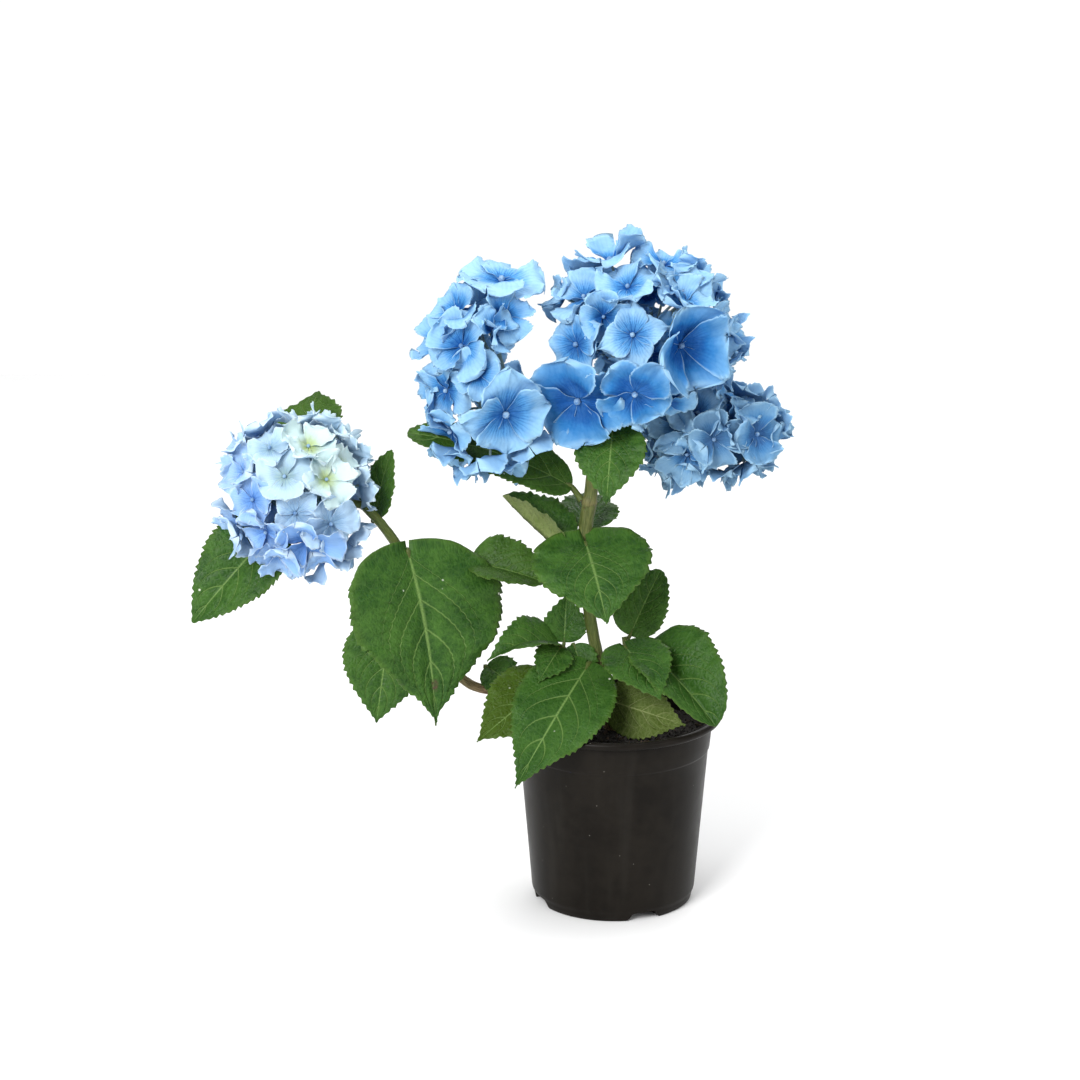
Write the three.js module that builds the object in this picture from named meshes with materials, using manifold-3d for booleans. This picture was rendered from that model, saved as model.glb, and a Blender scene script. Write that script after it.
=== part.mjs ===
// A potted hydrangea: a round nursery pot with its soil, a woody crown with its stems and shoots,
// single leaves on their stalks, and four flower heads made of clusters of four-sepalled florets.
//
// Frame: millimetres, +Z up, the origin at the centre of the pot's base, and -Y towards the front.
import * as THREE from "three";
import { mergeVertices } from "three/addons/utils/BufferGeometryUtils.js";
import Module from "manifold-3d";

const wasm = await Module();
wasm.setup();

const GAP = 0.3; // clearance between pieces that touch
const DEG = Math.PI / 180;
const GOLDEN = 137.508; // degrees from one to the next round a golden spiral

// ---------------------------------------------------------------- driving dimensions

const pot = {
  height: 138, lipRadius: 76, lipDrop: 5.5, crestInset: 2.5,
  collarTop: 69.2, collarFoot: 67.5, stepZ: 112, bodyTop: 66.6,
  footZ: 7, bodyFoot: 57.8, wall: 1.5, floor: 2,
  ringOuter: 55.5, ringInner: 49.5, padRadius: 22, channelZ: 5, sides: 40,
};
const feet = { notches: 4, first: 22, width: 18, depth: 5.6 }; // count, degrees, mm, mm
const drains = { radius: 4.5, at: 41, perNotch: 2, apart: 45 }; // mm, mm, count, degrees
const soil = { top: 123, rise: 2.5, lumps: 1.6, rings: 5, sides: 28 };
const blade = { columns: 4, midrib: 1.9, edge: 0.7, tipWidth: 1.0 };
const stemSides = 8;
const ray = { radius: 1.3, sides: 6, steps: 6 };
const stalk = { baseRadius: 2.1, endRadius: 1.5, sides: 5, steps: 3 };
const floret = { drawn: 0.9, notch: 0.8, thick: 1.6, pedicel: 0.9, knob: 2.4, knotAt: 0.55, bareSpread: 50 };

const palette = {
  pot: { color: 0x1d1c1b, roughness: 0.45 },
  soil: { color: 0x1c1410, roughness: 1.0 },
  wood: { color: 0x6d5a3c, roughness: 0.85 },
  stem: { color: 0x6f8a3c, roughness: 0.6 },
  leaf: { color: 0x2f6b2a, roughness: 0.5 },
  leafPale: { color: 0x6f8438, roughness: 0.6 },
  blue: { color: 0x6fa6e6, roughness: 0.6 },
  paleBlue: { color: 0xa9c8ee, roughness: 0.6 },
};

// ---------------------------------------------------------------- the plant's own layout

// Stems: points along the middle, with the radius at each.
const stems = {
  main_stem: {
    finish: "stem",
    path: [[0, 0, 100, 6], [0, 0, 124, 7], [-3, 0, 146, 7], [-8, 0, 162, 6.2], [-12, 0, 178, 4.6],
      [-16, -1, 200, 4.2], [-21, -2, 232, 4.3], [-21, -2, 262, 4.9], [-18, 0, 288, 5.2]],
  },
  left_branch: {
    finish: "wood",
    path: [[-11, 1, 146, 4], [-40, 6, 147, 3.8], [-84, 8, 149, 3.4], [-104, 7, 156, 3.4], [-121, 3, 176, 3.4],
      [-134, 1, 206, 3.4], [-143, 0, 235, 3.5], [-150, 0, 255, 3.6], [-161, 0, 272, 3.4],
      [-173, -1, 286, 3.2]],
  },
  shoot_left: {
    finish: "stem",
    path: [[-13, -6, 156, 2.6], [-22, -8, 164, 2.6], [-31, -6, 174, 2.5], [-36, -4, 184, 2.2]],
  },
  shoot_right: {
    finish: "stem",
    path: [[0, -3, 164, 2.6], [6, -4, 172, 2.6], [8, -2, 182, 2.3], [7, 1, 191, 1.9]],
  },
};

// Leaves: where the stalk leaves the stem, where the blade starts, the way the blade points
// (heading from +X towards +Y, pitch above the horizon), its size, its turn about its own length,
// how much it arches from stalk to tip, how far its halves fold up, how far its base lobes reach back,
// and how blunt its tip is (0 and below is drawn out to a point).
const leaves = [
  { name: "leaf_side_head_back", from: [-181, 4, 298], base: [-217, 22, 328], heading: 78, pitch: 32,
    length: 48, width: 54, roll: -14, arch: 20, fold: 6 },
  { name: "leaf_side_head_left", from: [-184, -5, 282], base: [-235, 6, 270], heading: -161, pitch: -46,
    length: 90, width: 60, roll: -50, arch: 16, fold: 18, blunt: 0.4 },
  { name: "leaf_side_head_right", from: [-168, 5, 274], base: [-167, 10, 276], heading: 40, pitch: 71,
    length: 48, width: 36, roll: 2, arch: 14, fold: 14, blunt: 0.5 },
  { name: "leaf_left_branch_large", from: [-147, -5, 249], base: [-143, -17, 258], heading: -60, pitch: -72,
    length: 122, width: 126, roll: -5, arch: 26, fold: 10, lobes: 0.07, blunt: -0.3 },
  { name: "leaf_left_branch_inner", from: [-145, 3, 248], base: [-99, 5, 245], heading: -14, pitch: -12,
    length: 54, width: 48, roll: 28, arch: 14, fold: 36, blunt: 0.9 },
  { name: "leaf_left_branch_rear", from: [-140, 5, 226], base: [-158, 18, 196], heading: -124, pitch: -76,
    length: 72, width: 60, roll: -35, arch: 14, fold: 5, blunt: 0.15 },
  { name: "leaf_mid_front", from: [-21, -6, 262], base: [-20, -12, 264], heading: -75, pitch: -38,
    length: 69, width: 84, roll: 8, arch: 30, fold: 5, lobes: 0.18 },
  { name: "leaf_upper_left_folded", from: [-22, 0, 254], base: [-34, 1, 254], heading: 158, pitch: 38,
    length: 58, width: 52, roll: -2, arch: -10, fold: 78, blunt: 0.6 },
  { name: "leaf_upper_right_rear", from: [-18, 6, 268], base: [-20, 11, 268], heading: 84, pitch: 13,
    length: 54, width: 42, roll: 8, arch: 20, fold: 16 },
  { name: "leaf_under_left_head", from: [-22, 0, 290], base: [-31, 1, 301], heading: -178, pitch: 19,
    length: 120, width: 40, roll: -42, arch: 40, fold: 8, blunt: 0.8 },
  { name: "leaf_under_crown_front", from: [-9, -4, 333], base: [-2, -15, 345], heading: -98, pitch: -52,
    length: 57, width: 50, roll: 0, arch: 20, fold: 12, lobes: 0.06 },
  { name: "leaf_right_upright", from: [8, 3, 187], base: [12, 7, 192], heading: 44, pitch: 54,
    length: 50, width: 38, roll: 30, arch: 16, fold: 14, lobes: 0.04, blunt: 0.7 },
  { name: "leaf_right_small", from: [9, -6, 182], base: [8, -17, 190], heading: -62, pitch: -26,
    length: 55, width: 49, roll: 12, arch: 26, fold: 8, lobes: 0.1, blunt: 0.15 },
  { name: "leaf_right_large", from: [11, -1, 177], base: [22, 0, 182], heading: -47, pitch: -30,
    length: 80, width: 74, roll: 20, arch: 26, fold: 52, lobes: 0.03, blunt: 0.8 },
  { name: "leaf_front_large", from: [-9, -8, 168], base: [-19, -16, 177], heading: -122, pitch: -33,
    length: 114, width: 68, roll: -20, arch: 16, fold: 8, lobes: 0.03 },
  { name: "leaf_front_left_rear", from: [-14, -6, 150], base: [-42, -15, 165], heading: -144, pitch: -26,
    length: 74, width: 56, roll: -30, arch: 12, fold: 6 },
  { name: "leaf_over_soil", from: [3, -7, 143], base: [-5, -10, 148], heading: -38, pitch: -4,
    length: 68, width: 42, roll: -110, arch: 10, fold: 4 },
  { name: "leaf_shoot_left", from: [-36, -4, 182], base: [-39, -3, 186], heading: -152, pitch: -3,
    length: 60, width: 40, roll: -20, arch: 75, fold: 42 },
  { name: "leaf_shoot_upright", from: [-36, -2, 181], base: [-35, 2, 187], heading: 80, pitch: 72,
    length: 34, width: 32, roll: 9, arch: 16, fold: 24 },
  { name: "leaf_shoot_small", from: [-36, -7, 181], base: [-38, -10, 187], heading: -119, pitch: -28,
    length: 36, width: 27, roll: -25, arch: 30, fold: 12 },
  { name: "leaf_shoot_dark", from: [-32, -4, 177], base: [-28, -3, 186], heading: -53, pitch: -60,
    length: 32, width: 26, roll: 30, arch: 14, fold: 10 },
  { name: "leaf_low_left_dark", from: [-86, 9, 151], base: [-90, 13, 165], heading: -28, pitch: -26,
    length: 32, width: 30, roll: 40, arch: 14, fold: 10 },
];

const oliveLeaves = ["leaf_front_left_rear", "leaf_over_soil"];

// Flower heads: the middle and the half sizes of the dome that the florets' centres lie on, the hub
// where its stalks part, and its florets as [around, up, span, spin, cup, out, turn, lean]:
// around and up give the place on the dome in degrees (0, 0 is the front), span is the floret's width,
// spin turns it about its own axis, cup is how far its sepals rise, out pushes it off the dome, and
// turn and lean face it away from straight out. bare is the direction in which a head has no fillers.
const heads = {
  left_head: {
    finish: "blue", centre: [-88, -8, 383], half: [36, 38, 62], hub: [-74, -4, 372],
    clusters: 6, fillers: 26, spacing: 44, lowest: -0.8, bare: [82, 0],
    florets: [
      [18, -15, 68, 4, 14, 1.16, 0, -6], [112, 74, 62, 55, 22, 1.05, -90, 2],
      [-75, 23, 44, 40, 20, 0.94, 10, 0], [-53, 47, 42, 70, 24, 1, 0, 0], [-30, 24, 46, 60, 18, 1, 0, 0],
      [-9, 8, 38, 20, 26, 1, 0, 14], [-49, -6, 44, 10, 22, 1, 0, 0], [-84, -18, 42, 30, 20, 0.94, 0, 0],
      [-62, -38, 50, 35, 20, 0.98, 0, 0], [7, -62, 52, 15, 22, 1, 0, -10], [-72, -60, 46, 0, 24, 1, 0, 0],
      [78, -46, 48, 60, 30, 1, 0, -20], [8, 36, 34, 30, 26, 0.98, 50, -20],
      [30, 50, 38, 20, 24, 0.92, 0, -20],
    ],
  },
  centre_head: {
    finish: "blue", centre: [18, 8, 399], half: [60, 54, 58], hub: [10, 6, 366],
    clusters: 8, fillers: 34, spacing: 36, lowest: -0.6, bare: [-90, -8],
    florets: [
      [-45, -26, 66, 15, 14, 1.16, 24, 4], [-6, -19, 56, 45, 12, 1.1, 8, -6],
      [-48, 8, 50, 45, 12, 1.02, 0, 0],
      [-8, 18, 50, 20, 14, 1, 0, 6], [22, 11, 58, 10, 32, 1.08, 9, -22], [34, 38, 40, 0, 20, 1, 0, 10],
      [-17, 52, 44, 40, 20, 1.02, 0, 10], [-60, 40, 42, 20, 18, 1, 0, 10], [-110, 68, 58, 10, 26, 1.04, 0, 0],
      [70, 76, 46, 30, 20, 1, 0, 0], [100, 50, 42, 10, 22, 1, 0, 0], [40, 48, 44, 50, 20, 0.98, 0, 0],
      [92, 26, 38, 20, 22, 0.92, 0, 0], [88, 4, 34, 35, 24, 1.02, 10, 0], [-94, 32, 38, 10, 20, 1.04, 0, 0],
      [84, -20, 40, 60, 22, 0.94, 0, 0], [-66, -52, 44, 10, 20, 1, 0, -10],
      [-33, 30, 36, 0, 30, 0.97, 40, -40], [20, -36, 42, 20, 24, 0.94, 0, -14],
      [-24, -50, 40, 40, 22, 0.94, 0, -14], [64, 12, 42, 30, 22, 0.9, 0, 0],
    ],
  },
  right_head: {
    finish: "blue", centre: [69, 30, 333], half: [41, 40, 25], hub: [58, 24, 340],
    clusters: 5, fillers: 22, spacing: 46, lowest: -0.95,
    florets: [
      [45, 54, 50, 20, 18, 1.05, 30, 6], [-24, 45, 42, 40, 20, 1.02, 0, 0], [-42, 20, 38, 30, 20, 1, 0, 0],
      [-3, 8, 40, 10, 34, 1, 20, -10], [16, 32, 38, 50, 26, 0.98, 30, -14], [42, 10, 44, 10, 22, 1.02, 0, 0],
      [92, 22, 38, 30, 22, 1.03, 0, 0], [76, -22, 42, 20, 24, 1.02, 0, -6],
      [54, -52, 42, 40, 24, 1.02, 0, -10], [-17, -58, 42, 15, 22, 1, 0, -10], [-30, -20, 42, 40, 20, 1, 0, 0],
      [-82, -24, 40, 25, 22, 1.02, 0, 0], [-76, -50, 40, 10, 26, 1.3, 0, 10],
    ],
  },
  side_head: {
    finish: "paleBlue", centre: [-220, -5, 295], half: [43, 40, 48], hub: [-204, -2, 289],
    clusters: 7, fillers: 34, spacing: 38, lowest: -0.7,
    florets: [
      [13, -28, 48, 20, 22, 1.05, 0, -6], [2, -1, 40, 45, 10, 1.04, 0, 6], [34, -12, 44, 15, 14, 1.05, 0, 4],
      [-38, 7, 42, 30, 16, 1.04, 0, 0], [-78, -24, 44, 10, 22, 1.02, 0, 0], [-8, 28, 40, 20, 16, 1.02, 0, 6],
      [-37, 52, 40, 50, 18, 1.02, 0, 6], [-94, 36, 38, 25, 22, 1.05, 0, 0], [-62, 26, 36, 15, 22, 1, 0, 0],
      [23, 55, 38, 35, 18, 1.02, 0, 6], [110, 56, 42, 20, 20, 1.05, 0, 0], [104, 38, 36, 40, 24, 1.06, 0, 0],
      [62, 32, 26, 10, 30, 0.98, 0, 0], [92, 8, 36, 25, 22, 1.02, 0, 0], [-28, -20, 38, 15, 26, 1, 0, -4],
      [-18, -44, 40, 60, 24, 1, 0, -8], [82, -38, 38, 15, 20, 1.04, 0, 0], [56, -58, 40, 50, 22, 1.02, 0, 0],
      [156, 76, 40, 20, 20, 1, 0, 0], [-106, 58, 38, 30, 20, 1.04, 0, 0], [34, 24, 38, 25, 22, 1, 0, 0],
    ],
  },
};

// The peduncle and the rays that carry the heads' hubs, as stalks that part from one another.
const corymbs = {
  main_corymb_stalk: {
    heads: ["left_head", "centre_head", "right_head"],
    arms: [
      [[-18, 0, 288.5, 5], [-15, 2, 311, 4.3], [-6, 4, 336, 3.8], [4, 5, 354, 3.2], [10, 6, 366, 2.8]],
      [[-4, 4, 340, 2.4], [-30, 0, 358, 2.2], [-56, -3, 368, 2.0], [-74, -4, 372, 2.0]],
      [[0, 5, 346, 2.4], [24, 14, 350, 2.2], [46, 20, 347, 2.0], [60, 22, 342, 2.0]],
    ],
  },
  side_corymb_stalk: {
    heads: ["side_head"],
    arms: [[[-176, -1, 287.5, 2.9], [-186, -2, 289, 2.7], [-196, -2, 289, 2.5], [-204, -2, 288, 2.4]]],
  },
};

// ---------------------------------------------------------------- solids and meshes

function solidOf(geometry) {
  geometry.deleteAttribute("normal");
  geometry.deleteAttribute("uv");
  const merged = mergeVertices(geometry, 1e-4);
  return new wasm.Manifold(new wasm.Mesh({
    numProp: 3,
    vertProperties: merged.attributes.position.array,
    triVerts: new Uint32Array(merged.index.array),
  }));
}

function geometryOf(solid) {
  const { vertProperties, triVerts } = solid.getMesh();
  const geometry = new THREE.BufferGeometry();
  geometry.setAttribute("position", new THREE.BufferAttribute(vertProperties, 3));
  geometry.setIndex(new THREE.BufferAttribute(triVerts, 1));
  geometry.computeVertexNormals();
  return geometry;
}

const join = (solids) => solids.reduce((all, next) => all.add(next));

// The largest body of a solid that a cut has left in pieces.
function largest(solid) {
  const bodies = solid.decompose();
  return bodies.reduce((best, next) => (next.volume() > best.volume() ? next : best));
}

const finishes = {};
function finish(name) {
  finishes[name] ??= new THREE.MeshStandardMaterial({ ...palette[name], metalness: 0 });
  return finishes[name];
}

const hydrangea = new THREE.Group();
function addPiece(name, solid, finishName) {
  const mesh = new THREE.Mesh(geometryOf(solid), finish(finishName));
  mesh.name = name;
  hydrangea.add(mesh);
}

// A closed skin over rings of points that follow one another, each ring the same number of points.
function skinOver(rings) {
  const count = rings[0].length;
  const points = rings.flat();
  const faces = [];
  for (let i = 0; i + 1 < rings.length; i++) {
    for (let j = 0; j < count; j++) {
      const a = i * count + j;
      const b = i * count + ((j + 1) % count);
      faces.push(a, b, a + count, b, b + count, a + count);
    }
  }
  const last = (rings.length - 1) * count;
  for (let j = 1; j + 1 < count; j++) {
    faces.push(0, j + 1, j);
    faces.push(last, last + j, last + j + 1);
  }
  const geometry = new THREE.BufferGeometry().setFromPoints(points);
  geometry.setIndex(faces);
  return solidOf(geometry);
}

// A round stem along [x, y, z, radius] points, smooth between them.
function stemAlong(path, sides, steps, grow = 0) {
  const middles = path.map(([x, y, z]) => new THREE.Vector3(x, y, z));
  const curve = new THREE.CatmullRomCurve3(middles, false, "centripetal");
  const frames = curve.computeFrenetFrames(steps);
  const rings = [];
  for (let i = 0; i <= steps; i++) {
    const share = i / steps;
    const place = curve.getUtoTmapping(share) * (path.length - 1);
    const k = Math.min(Math.floor(place), path.length - 2);
    const radius = THREE.MathUtils.lerp(path[k][3], path[k + 1][3], place - k) + grow;
    const middle = curve.getPointAt(share);
    const ring = [];
    for (let j = 0; j < sides; j++) {
      const angle = (j / sides) * 2 * Math.PI;
      ring.push(middle.clone()
        .addScaledVector(frames.normals[i], radius * Math.cos(angle))
        .addScaledVector(frames.binormals[i], radius * Math.sin(angle)));
    }
    rings.push(ring);
  }
  return skinOver(rings);
}

// ---------------------------------------------------------------- pot and soil

function lathe(profile, sides) {
  const points = profile.map(([r, z]) => new THREE.Vector2(r, z));
  return solidOf(new THREE.LatheGeometry(points, sides).rotateX(Math.PI / 2));
}

function potSolid() {
  const p = pot;
  const lipLow = p.height - p.lipDrop;
  const innerFloor = p.channelZ + p.floor;
  const underside = [
    [0, 0], [p.padRadius, 0], [p.padRadius + 2, p.channelZ],
    [p.ringInner - 1.5, p.channelZ], [p.ringInner, 0],
  ];
  const outside = [
    [p.ringOuter, 0], [p.ringOuter + 0.8, p.footZ - 3], [p.bodyFoot - 0.6, p.footZ - 0.6],
    [p.bodyFoot, p.footZ + 1.5], [p.bodyTop, p.stepZ], [p.collarFoot, p.stepZ + 1], [p.collarTop, lipLow],
  ];
  const lip = [
    [p.lipRadius - 0.8, lipLow], [p.lipRadius, lipLow + 1.6], [p.lipRadius - 0.6, p.height - 1],
    [p.lipRadius - p.crestInset, p.height], [p.collarTop - p.wall + 1, p.height - 0.6],
  ];
  const inside = [
    [p.collarTop - p.wall, lipLow - 1], [p.collarFoot - p.wall, p.stepZ + 1],
    [p.bodyTop - p.wall, p.stepZ - 1],
    [p.bodyFoot - p.wall, innerFloor + 2], [p.bodyFoot - p.wall - 2, innerFloor], [0, innerFloor],
  ];
  let solid = lathe([...underside, ...outside, ...lip, ...inside], p.sides);
  for (let i = 0; i < feet.notches; i++) {
    const turn = (feet.first + (i * 360) / feet.notches) * DEG;
    const cut = new THREE.CylinderGeometry(feet.width / 2, feet.width / 2 + 1.5, feet.depth + 1, 16)
      .scale(1.5, 1, 1)
      .rotateX(Math.PI / 2)
      .translate(p.ringOuter + 1, 0, (feet.depth - 1) / 2)
      .rotateZ(turn);
    solid = solid.subtract(solidOf(cut));
    for (let k = 0; k < drains.perNotch; k++) {
      const angle = turn + k * drains.apart * DEG;
      const hole = new THREE.CylinderGeometry(drains.radius, drains.radius, 12, 12)
        .rotateX(Math.PI / 2)
        .translate(drains.at, 0, p.channelZ + p.floor / 2)
        .rotateZ(angle);
      solid = solid.subtract(solidOf(hole));
    }
  }
  return solid;
}

function soilSolid(roots) {
  const p = pot;
  const outer = (z) => (z < p.stepZ
    ? THREE.MathUtils.mapLinear(z, p.footZ, p.stepZ, p.bodyFoot, p.bodyTop)
    : THREE.MathUtils.mapLinear(z, p.stepZ + 1, p.height - p.lipDrop, p.collarFoot, p.collarTop));
  const inner = (z) => outer(z) - p.wall - 2 * GAP;
  const floorZ = p.channelZ + p.floor + GAP;
  const profile = [
    [0, floorZ], [p.bodyFoot - p.wall - 3, floorZ],
    [inner(floorZ + 4), floorZ + 4], [inner(p.stepZ - 3), p.stepZ - 3],
  ];
  for (let i = 0; i <= soil.rings; i++) {
    const share = 1 - i / soil.rings;
    profile.push([inner(soil.top) * share, soil.top + soil.rise * (1 - share)]);
  }
  const points = profile.map(([r, z]) => new THREE.Vector2(r, z));
  const geometry = new THREE.LatheGeometry(points, soil.sides).rotateX(Math.PI / 2);
  const place = geometry.attributes.position;
  for (let i = 0; i < place.count; i++) {
    const [x, y, z] = [place.getX(i), place.getY(i), place.getZ(i)];
    if (z > p.stepZ) place.setZ(i, z + soil.lumps * Math.sin(x * 0.21 + 1) * Math.cos(y * 0.26));
  }
  return roots.reduce((all, root) => all.subtract(root), solidOf(geometry));
}

// ---------------------------------------------------------------- leaves

// Half width of the blade at share t of its length, as a share of the widest half.
// A blunt leaf stays wide for longer.
const outline = (t, blunt = 0) => Math.sin(Math.PI * t ** 0.64) ** (0.62 + (0.62 - blunt) * t);

// A point of the blade: t along it, s across it from -1 to 1, before the leaf is turned into place.
function bladePoint(leaf, t, s) {
  const arch = leaf.arch * DEG;
  const bend = (k) => arch * (0.5 - k);
  let x = 0;
  let z = 0;
  const steps = 12;
  for (let i = 0; i < steps; i++) {
    const k = ((i + 0.5) / steps) * t;
    x += (Math.cos(bend(k)) * leaf.length * t) / steps;
    z += (Math.sin(bend(k)) * leaf.length * t) / steps;
  }
  const half = Math.max((leaf.width / 2) * outline(t, leaf.blunt), blade.tipWidth / 2 + 1.2 * (1 - t));
  const back = (leaf.lobes ?? 0.02) * leaf.length * s * s * (1 - t) ** 2;
  const lift = leaf.fold * DEG * (1 - 0.3 * Math.abs(s));
  return new THREE.Vector3(x - back, s * half * Math.cos(lift), z + Math.abs(s) * half * Math.sin(lift));
}

function leafTurn(leaf) {
  return new THREE.Matrix4()
    .makeRotationZ(leaf.heading * DEG)
    .multiply(new THREE.Matrix4().makeRotationY(-leaf.pitch * DEG))
    .multiply(new THREE.Matrix4().makeRotationX(leaf.roll * DEG));
}

function bladeSolid(leaf, grow = 0) {
  const { columns, midrib, edge } = blade;
  const stations = leaf.length > 65 ? 7 : 5;
  const rings = [];
  for (let i = 0; i <= stations; i++) {
    const t = i / stations;
    const upper = [];
    const lower = [];
    for (let j = 0; j <= columns; j++) {
      const s = (2 * j) / columns - 1;
      const point = bladePoint(leaf, t, s);
      const thick = edge + (midrib - edge) * Math.max(0, 1 - 2 * Math.abs(s)) * (1 - 0.7 * t);
      point.x += grow * (2 * t - 1);
      point.y += grow * s;
      upper.push(point.clone().setZ(point.z + grow));
      lower.push(point.clone().setZ(point.z - thick - grow));
    }
    rings.push([...lower, ...upper.reverse()]);
  }
  return skinOver(rings);
}

function leafSolid(leaf, grow = 0) {
  const turn = leafTurn(leaf);
  const base = new THREE.Vector3(...leaf.base);
  const place = turn.clone().setPosition(base);
  const bladePart = bladeSolid(leaf, grow).transform(place.elements);
  const along = new THREE.Vector3(1, 0, 0).transformDirection(turn);
  const under = new THREE.Vector3(0, 0, -blade.midrib / 2).applyMatrix4(turn);
  const from = new THREE.Vector3(...leaf.from);
  const end = base.clone().add(under).addScaledVector(along, 5);
  const entry = base.clone().add(under).addScaledVector(along, -0.3 * from.distanceTo(base));
  const path = [
    [...from, stalk.baseRadius],
    [...entry, stalk.endRadius + 0.2],
    [...end, stalk.endRadius * 0.8],
  ];
  return bladePart.add(stemAlong(path, stalk.sides, stalk.steps, grow));
}

// ---------------------------------------------------------------- florets

// Unit vector from the dome's middle at around and up.
function outward(around, up) {
  const level = Math.cos(up * DEG);
  return new THREE.Vector3(
    Math.sin(around * DEG) * level, -Math.cos(around * DEG) * level, Math.sin(up * DEG));
}

// Every floret of a head: those listed, then fillers on a golden spiral wherever the dome is still bare.
function floretsOf(head) {
  const placed = head.florets.map(([around, up, span, spin, cup, out, turn, lean]) =>
    ({ way: outward(around, up), around, up, span, spin, cup, out, turn, lean }));
  for (let i = 0; i < head.fillers; i++) {
    const z = 1 - (1 - head.lowest) * ((i + 0.5) / head.fillers);
    const up = Math.asin(z) / DEG;
    const around = (i * GOLDEN) % 360;
    const way = outward(around, up);
    const clear = placed.every((other) => other.way.angleTo(way) > head.spacing * DEG);
    const bare = head.bare && outward(...head.bare).angleTo(way) < floret.bareSpread * DEG;
    if (!clear || bare) continue;
    placed.push({
      way, around, up, span: 46 - (i % 3) * 3, spin: (i * 47) % 90, cup: 18 + (i % 4) * 3,
      out: 0.98, turn: 0, lean: 0,
    });
  }
  return placed.map((one) => {
    const facing = outward(one.around + one.turn, one.up + one.lean);
    const at = one.way.clone().multiplyScalar(one.out)
      .multiply(new THREE.Vector3(...head.half)).add(new THREE.Vector3(...head.centre));
    return { ...one, facing, at };
  });
}

function floretFrame(one) {
  const side = new THREE.Vector3(0, 0, 1).cross(one.facing).normalize();
  const above = one.facing.clone().cross(side);
  return new THREE.Matrix4().makeBasis(side, above, one.facing)
    .multiply(new THREE.Matrix4().makeRotationZ(one.spin * DEG)).setPosition(one.at);
}

// Four sepals as one shallow dish. With grow it is the same dish with room round it, for cutting a neighbour.
function dishSolid(one, grow = 0) {
  const radius = (one.span / 2) * floret.drawn + grow;
  const rim = [];
  for (let k = 0; k < 4; k++) {
    for (const [turn, reach] of [[0, 1], [45, floret.notch]]) {
      const angle = (k * 90 + turn) * DEG;
      const height = radius * reach * Math.tan(one.cup * DEG) * reach;
      rim.push(new THREE.Vector3(radius * reach * Math.cos(angle), radius * reach * Math.sin(angle), height));
    }
  }
  const count = rim.length;
  const half = floret.thick / 2 + grow;
  const edge = grow + 0.05;
  const points = [
    ...rim.map((p) => p.clone().setZ(p.z + edge)),
    ...rim.map((p) => p.clone().setZ(p.z - edge)),
    new THREE.Vector3(0, 0, half),
    new THREE.Vector3(0, 0, -half),
  ];
  const faces = [];
  for (let j = 0; j < count; j++) {
    const next = (j + 1) % count;
    faces.push(2 * count, j, next, 2 * count + 1, count + next, count + j);
    faces.push(j, count + j, next, next, count + j, count + next);
  }
  const geometry = new THREE.BufferGeometry().setFromPoints(points);
  geometry.setIndex(faces);
  return solidOf(geometry).transform(floretFrame(one).elements);
}

function rodBetween(from, to, radius, sides = 3) {
  const length = from.distanceTo(to);
  const along = to.clone().sub(from).normalize();
  const turn = new THREE.Quaternion().setFromUnitVectors(new THREE.Vector3(0, 1, 0), along);
  const geometry = new THREE.CylinderGeometry(radius, radius, length, sides).applyQuaternion(turn)
    .translate(...from.clone().add(to).multiplyScalar(0.5));
  return solidOf(geometry);
}

// The florets shared out among the head's clusters by the nearest of evenly spread directions.
function clustersOf(head) {
  const florets = floretsOf(head);
  const seeds = [];
  for (let i = 0; i < head.clusters; i++) {
    const z = 1 - (1 - head.lowest) * ((i + 0.5) / head.clusters);
    seeds.push(outward((i * GOLDEN) % 360, Math.asin(z) / DEG));
  }
  const groups = seeds.map(() => []);
  for (const one of florets) {
    const angles = seeds.map((seed) => seed.angleTo(one.way));
    groups[angles.indexOf(Math.min(...angles))].push(one);
  }
  const hub = new THREE.Vector3(...head.hub);
  return groups.filter((group) => group.length).map((group) => {
    const mean = group.reduce((sum, one) => sum.add(one.at), new THREE.Vector3()).divideScalar(group.length);
    return { florets: group, knot: hub.clone().lerp(mean, floret.knotAt) };
  });
}

function clusterSolid(cluster, grow = 0) {
  const knob = solidOf(new THREE.OctahedronGeometry(floret.knob + grow).translate(...cluster.knot));
  const pieces = cluster.florets.flatMap((one) => {
    const seat = one.at.clone().addScaledVector(one.facing, -floret.thick / 4);
    return [dishSolid(one, grow), rodBetween(cluster.knot, seat, floret.pedicel + grow)];
  });
  return join([knob, ...pieces]);
}

// ---------------------------------------------------------------- assembly

const overlap = (a, b) => {
  const [p, q] = [a.boundingBox(), b.boundingBox()];
  return [0, 1, 2].every((i) => p.min[i] < q.max[i] && q.min[i] < p.max[i]);
};
const cutAll = (solid, tools) => tools
  .filter((tool) => overlap(solid, tool))
  .reduce((all, tool) => all.subtract(tool), solid);

addPiece("pot", potSolid(), "pot");
const rootedStem = stems.main_stem.path;
addPiece("potting_soil", soilSolid([stemAlong(rootedStem, stemSides, 2 * rootedStem.length, GAP)]), "soil");

const cutters = [];
for (const [name, { path, finish: look }] of Object.entries(stems)) {
  const steps = 2 * path.length;
  addPiece(name, largest(cutAll(stemAlong(path, stemSides, steps), cutters)), look);
  cutters.push(stemAlong(path, stemSides, steps, GAP));
}

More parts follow.
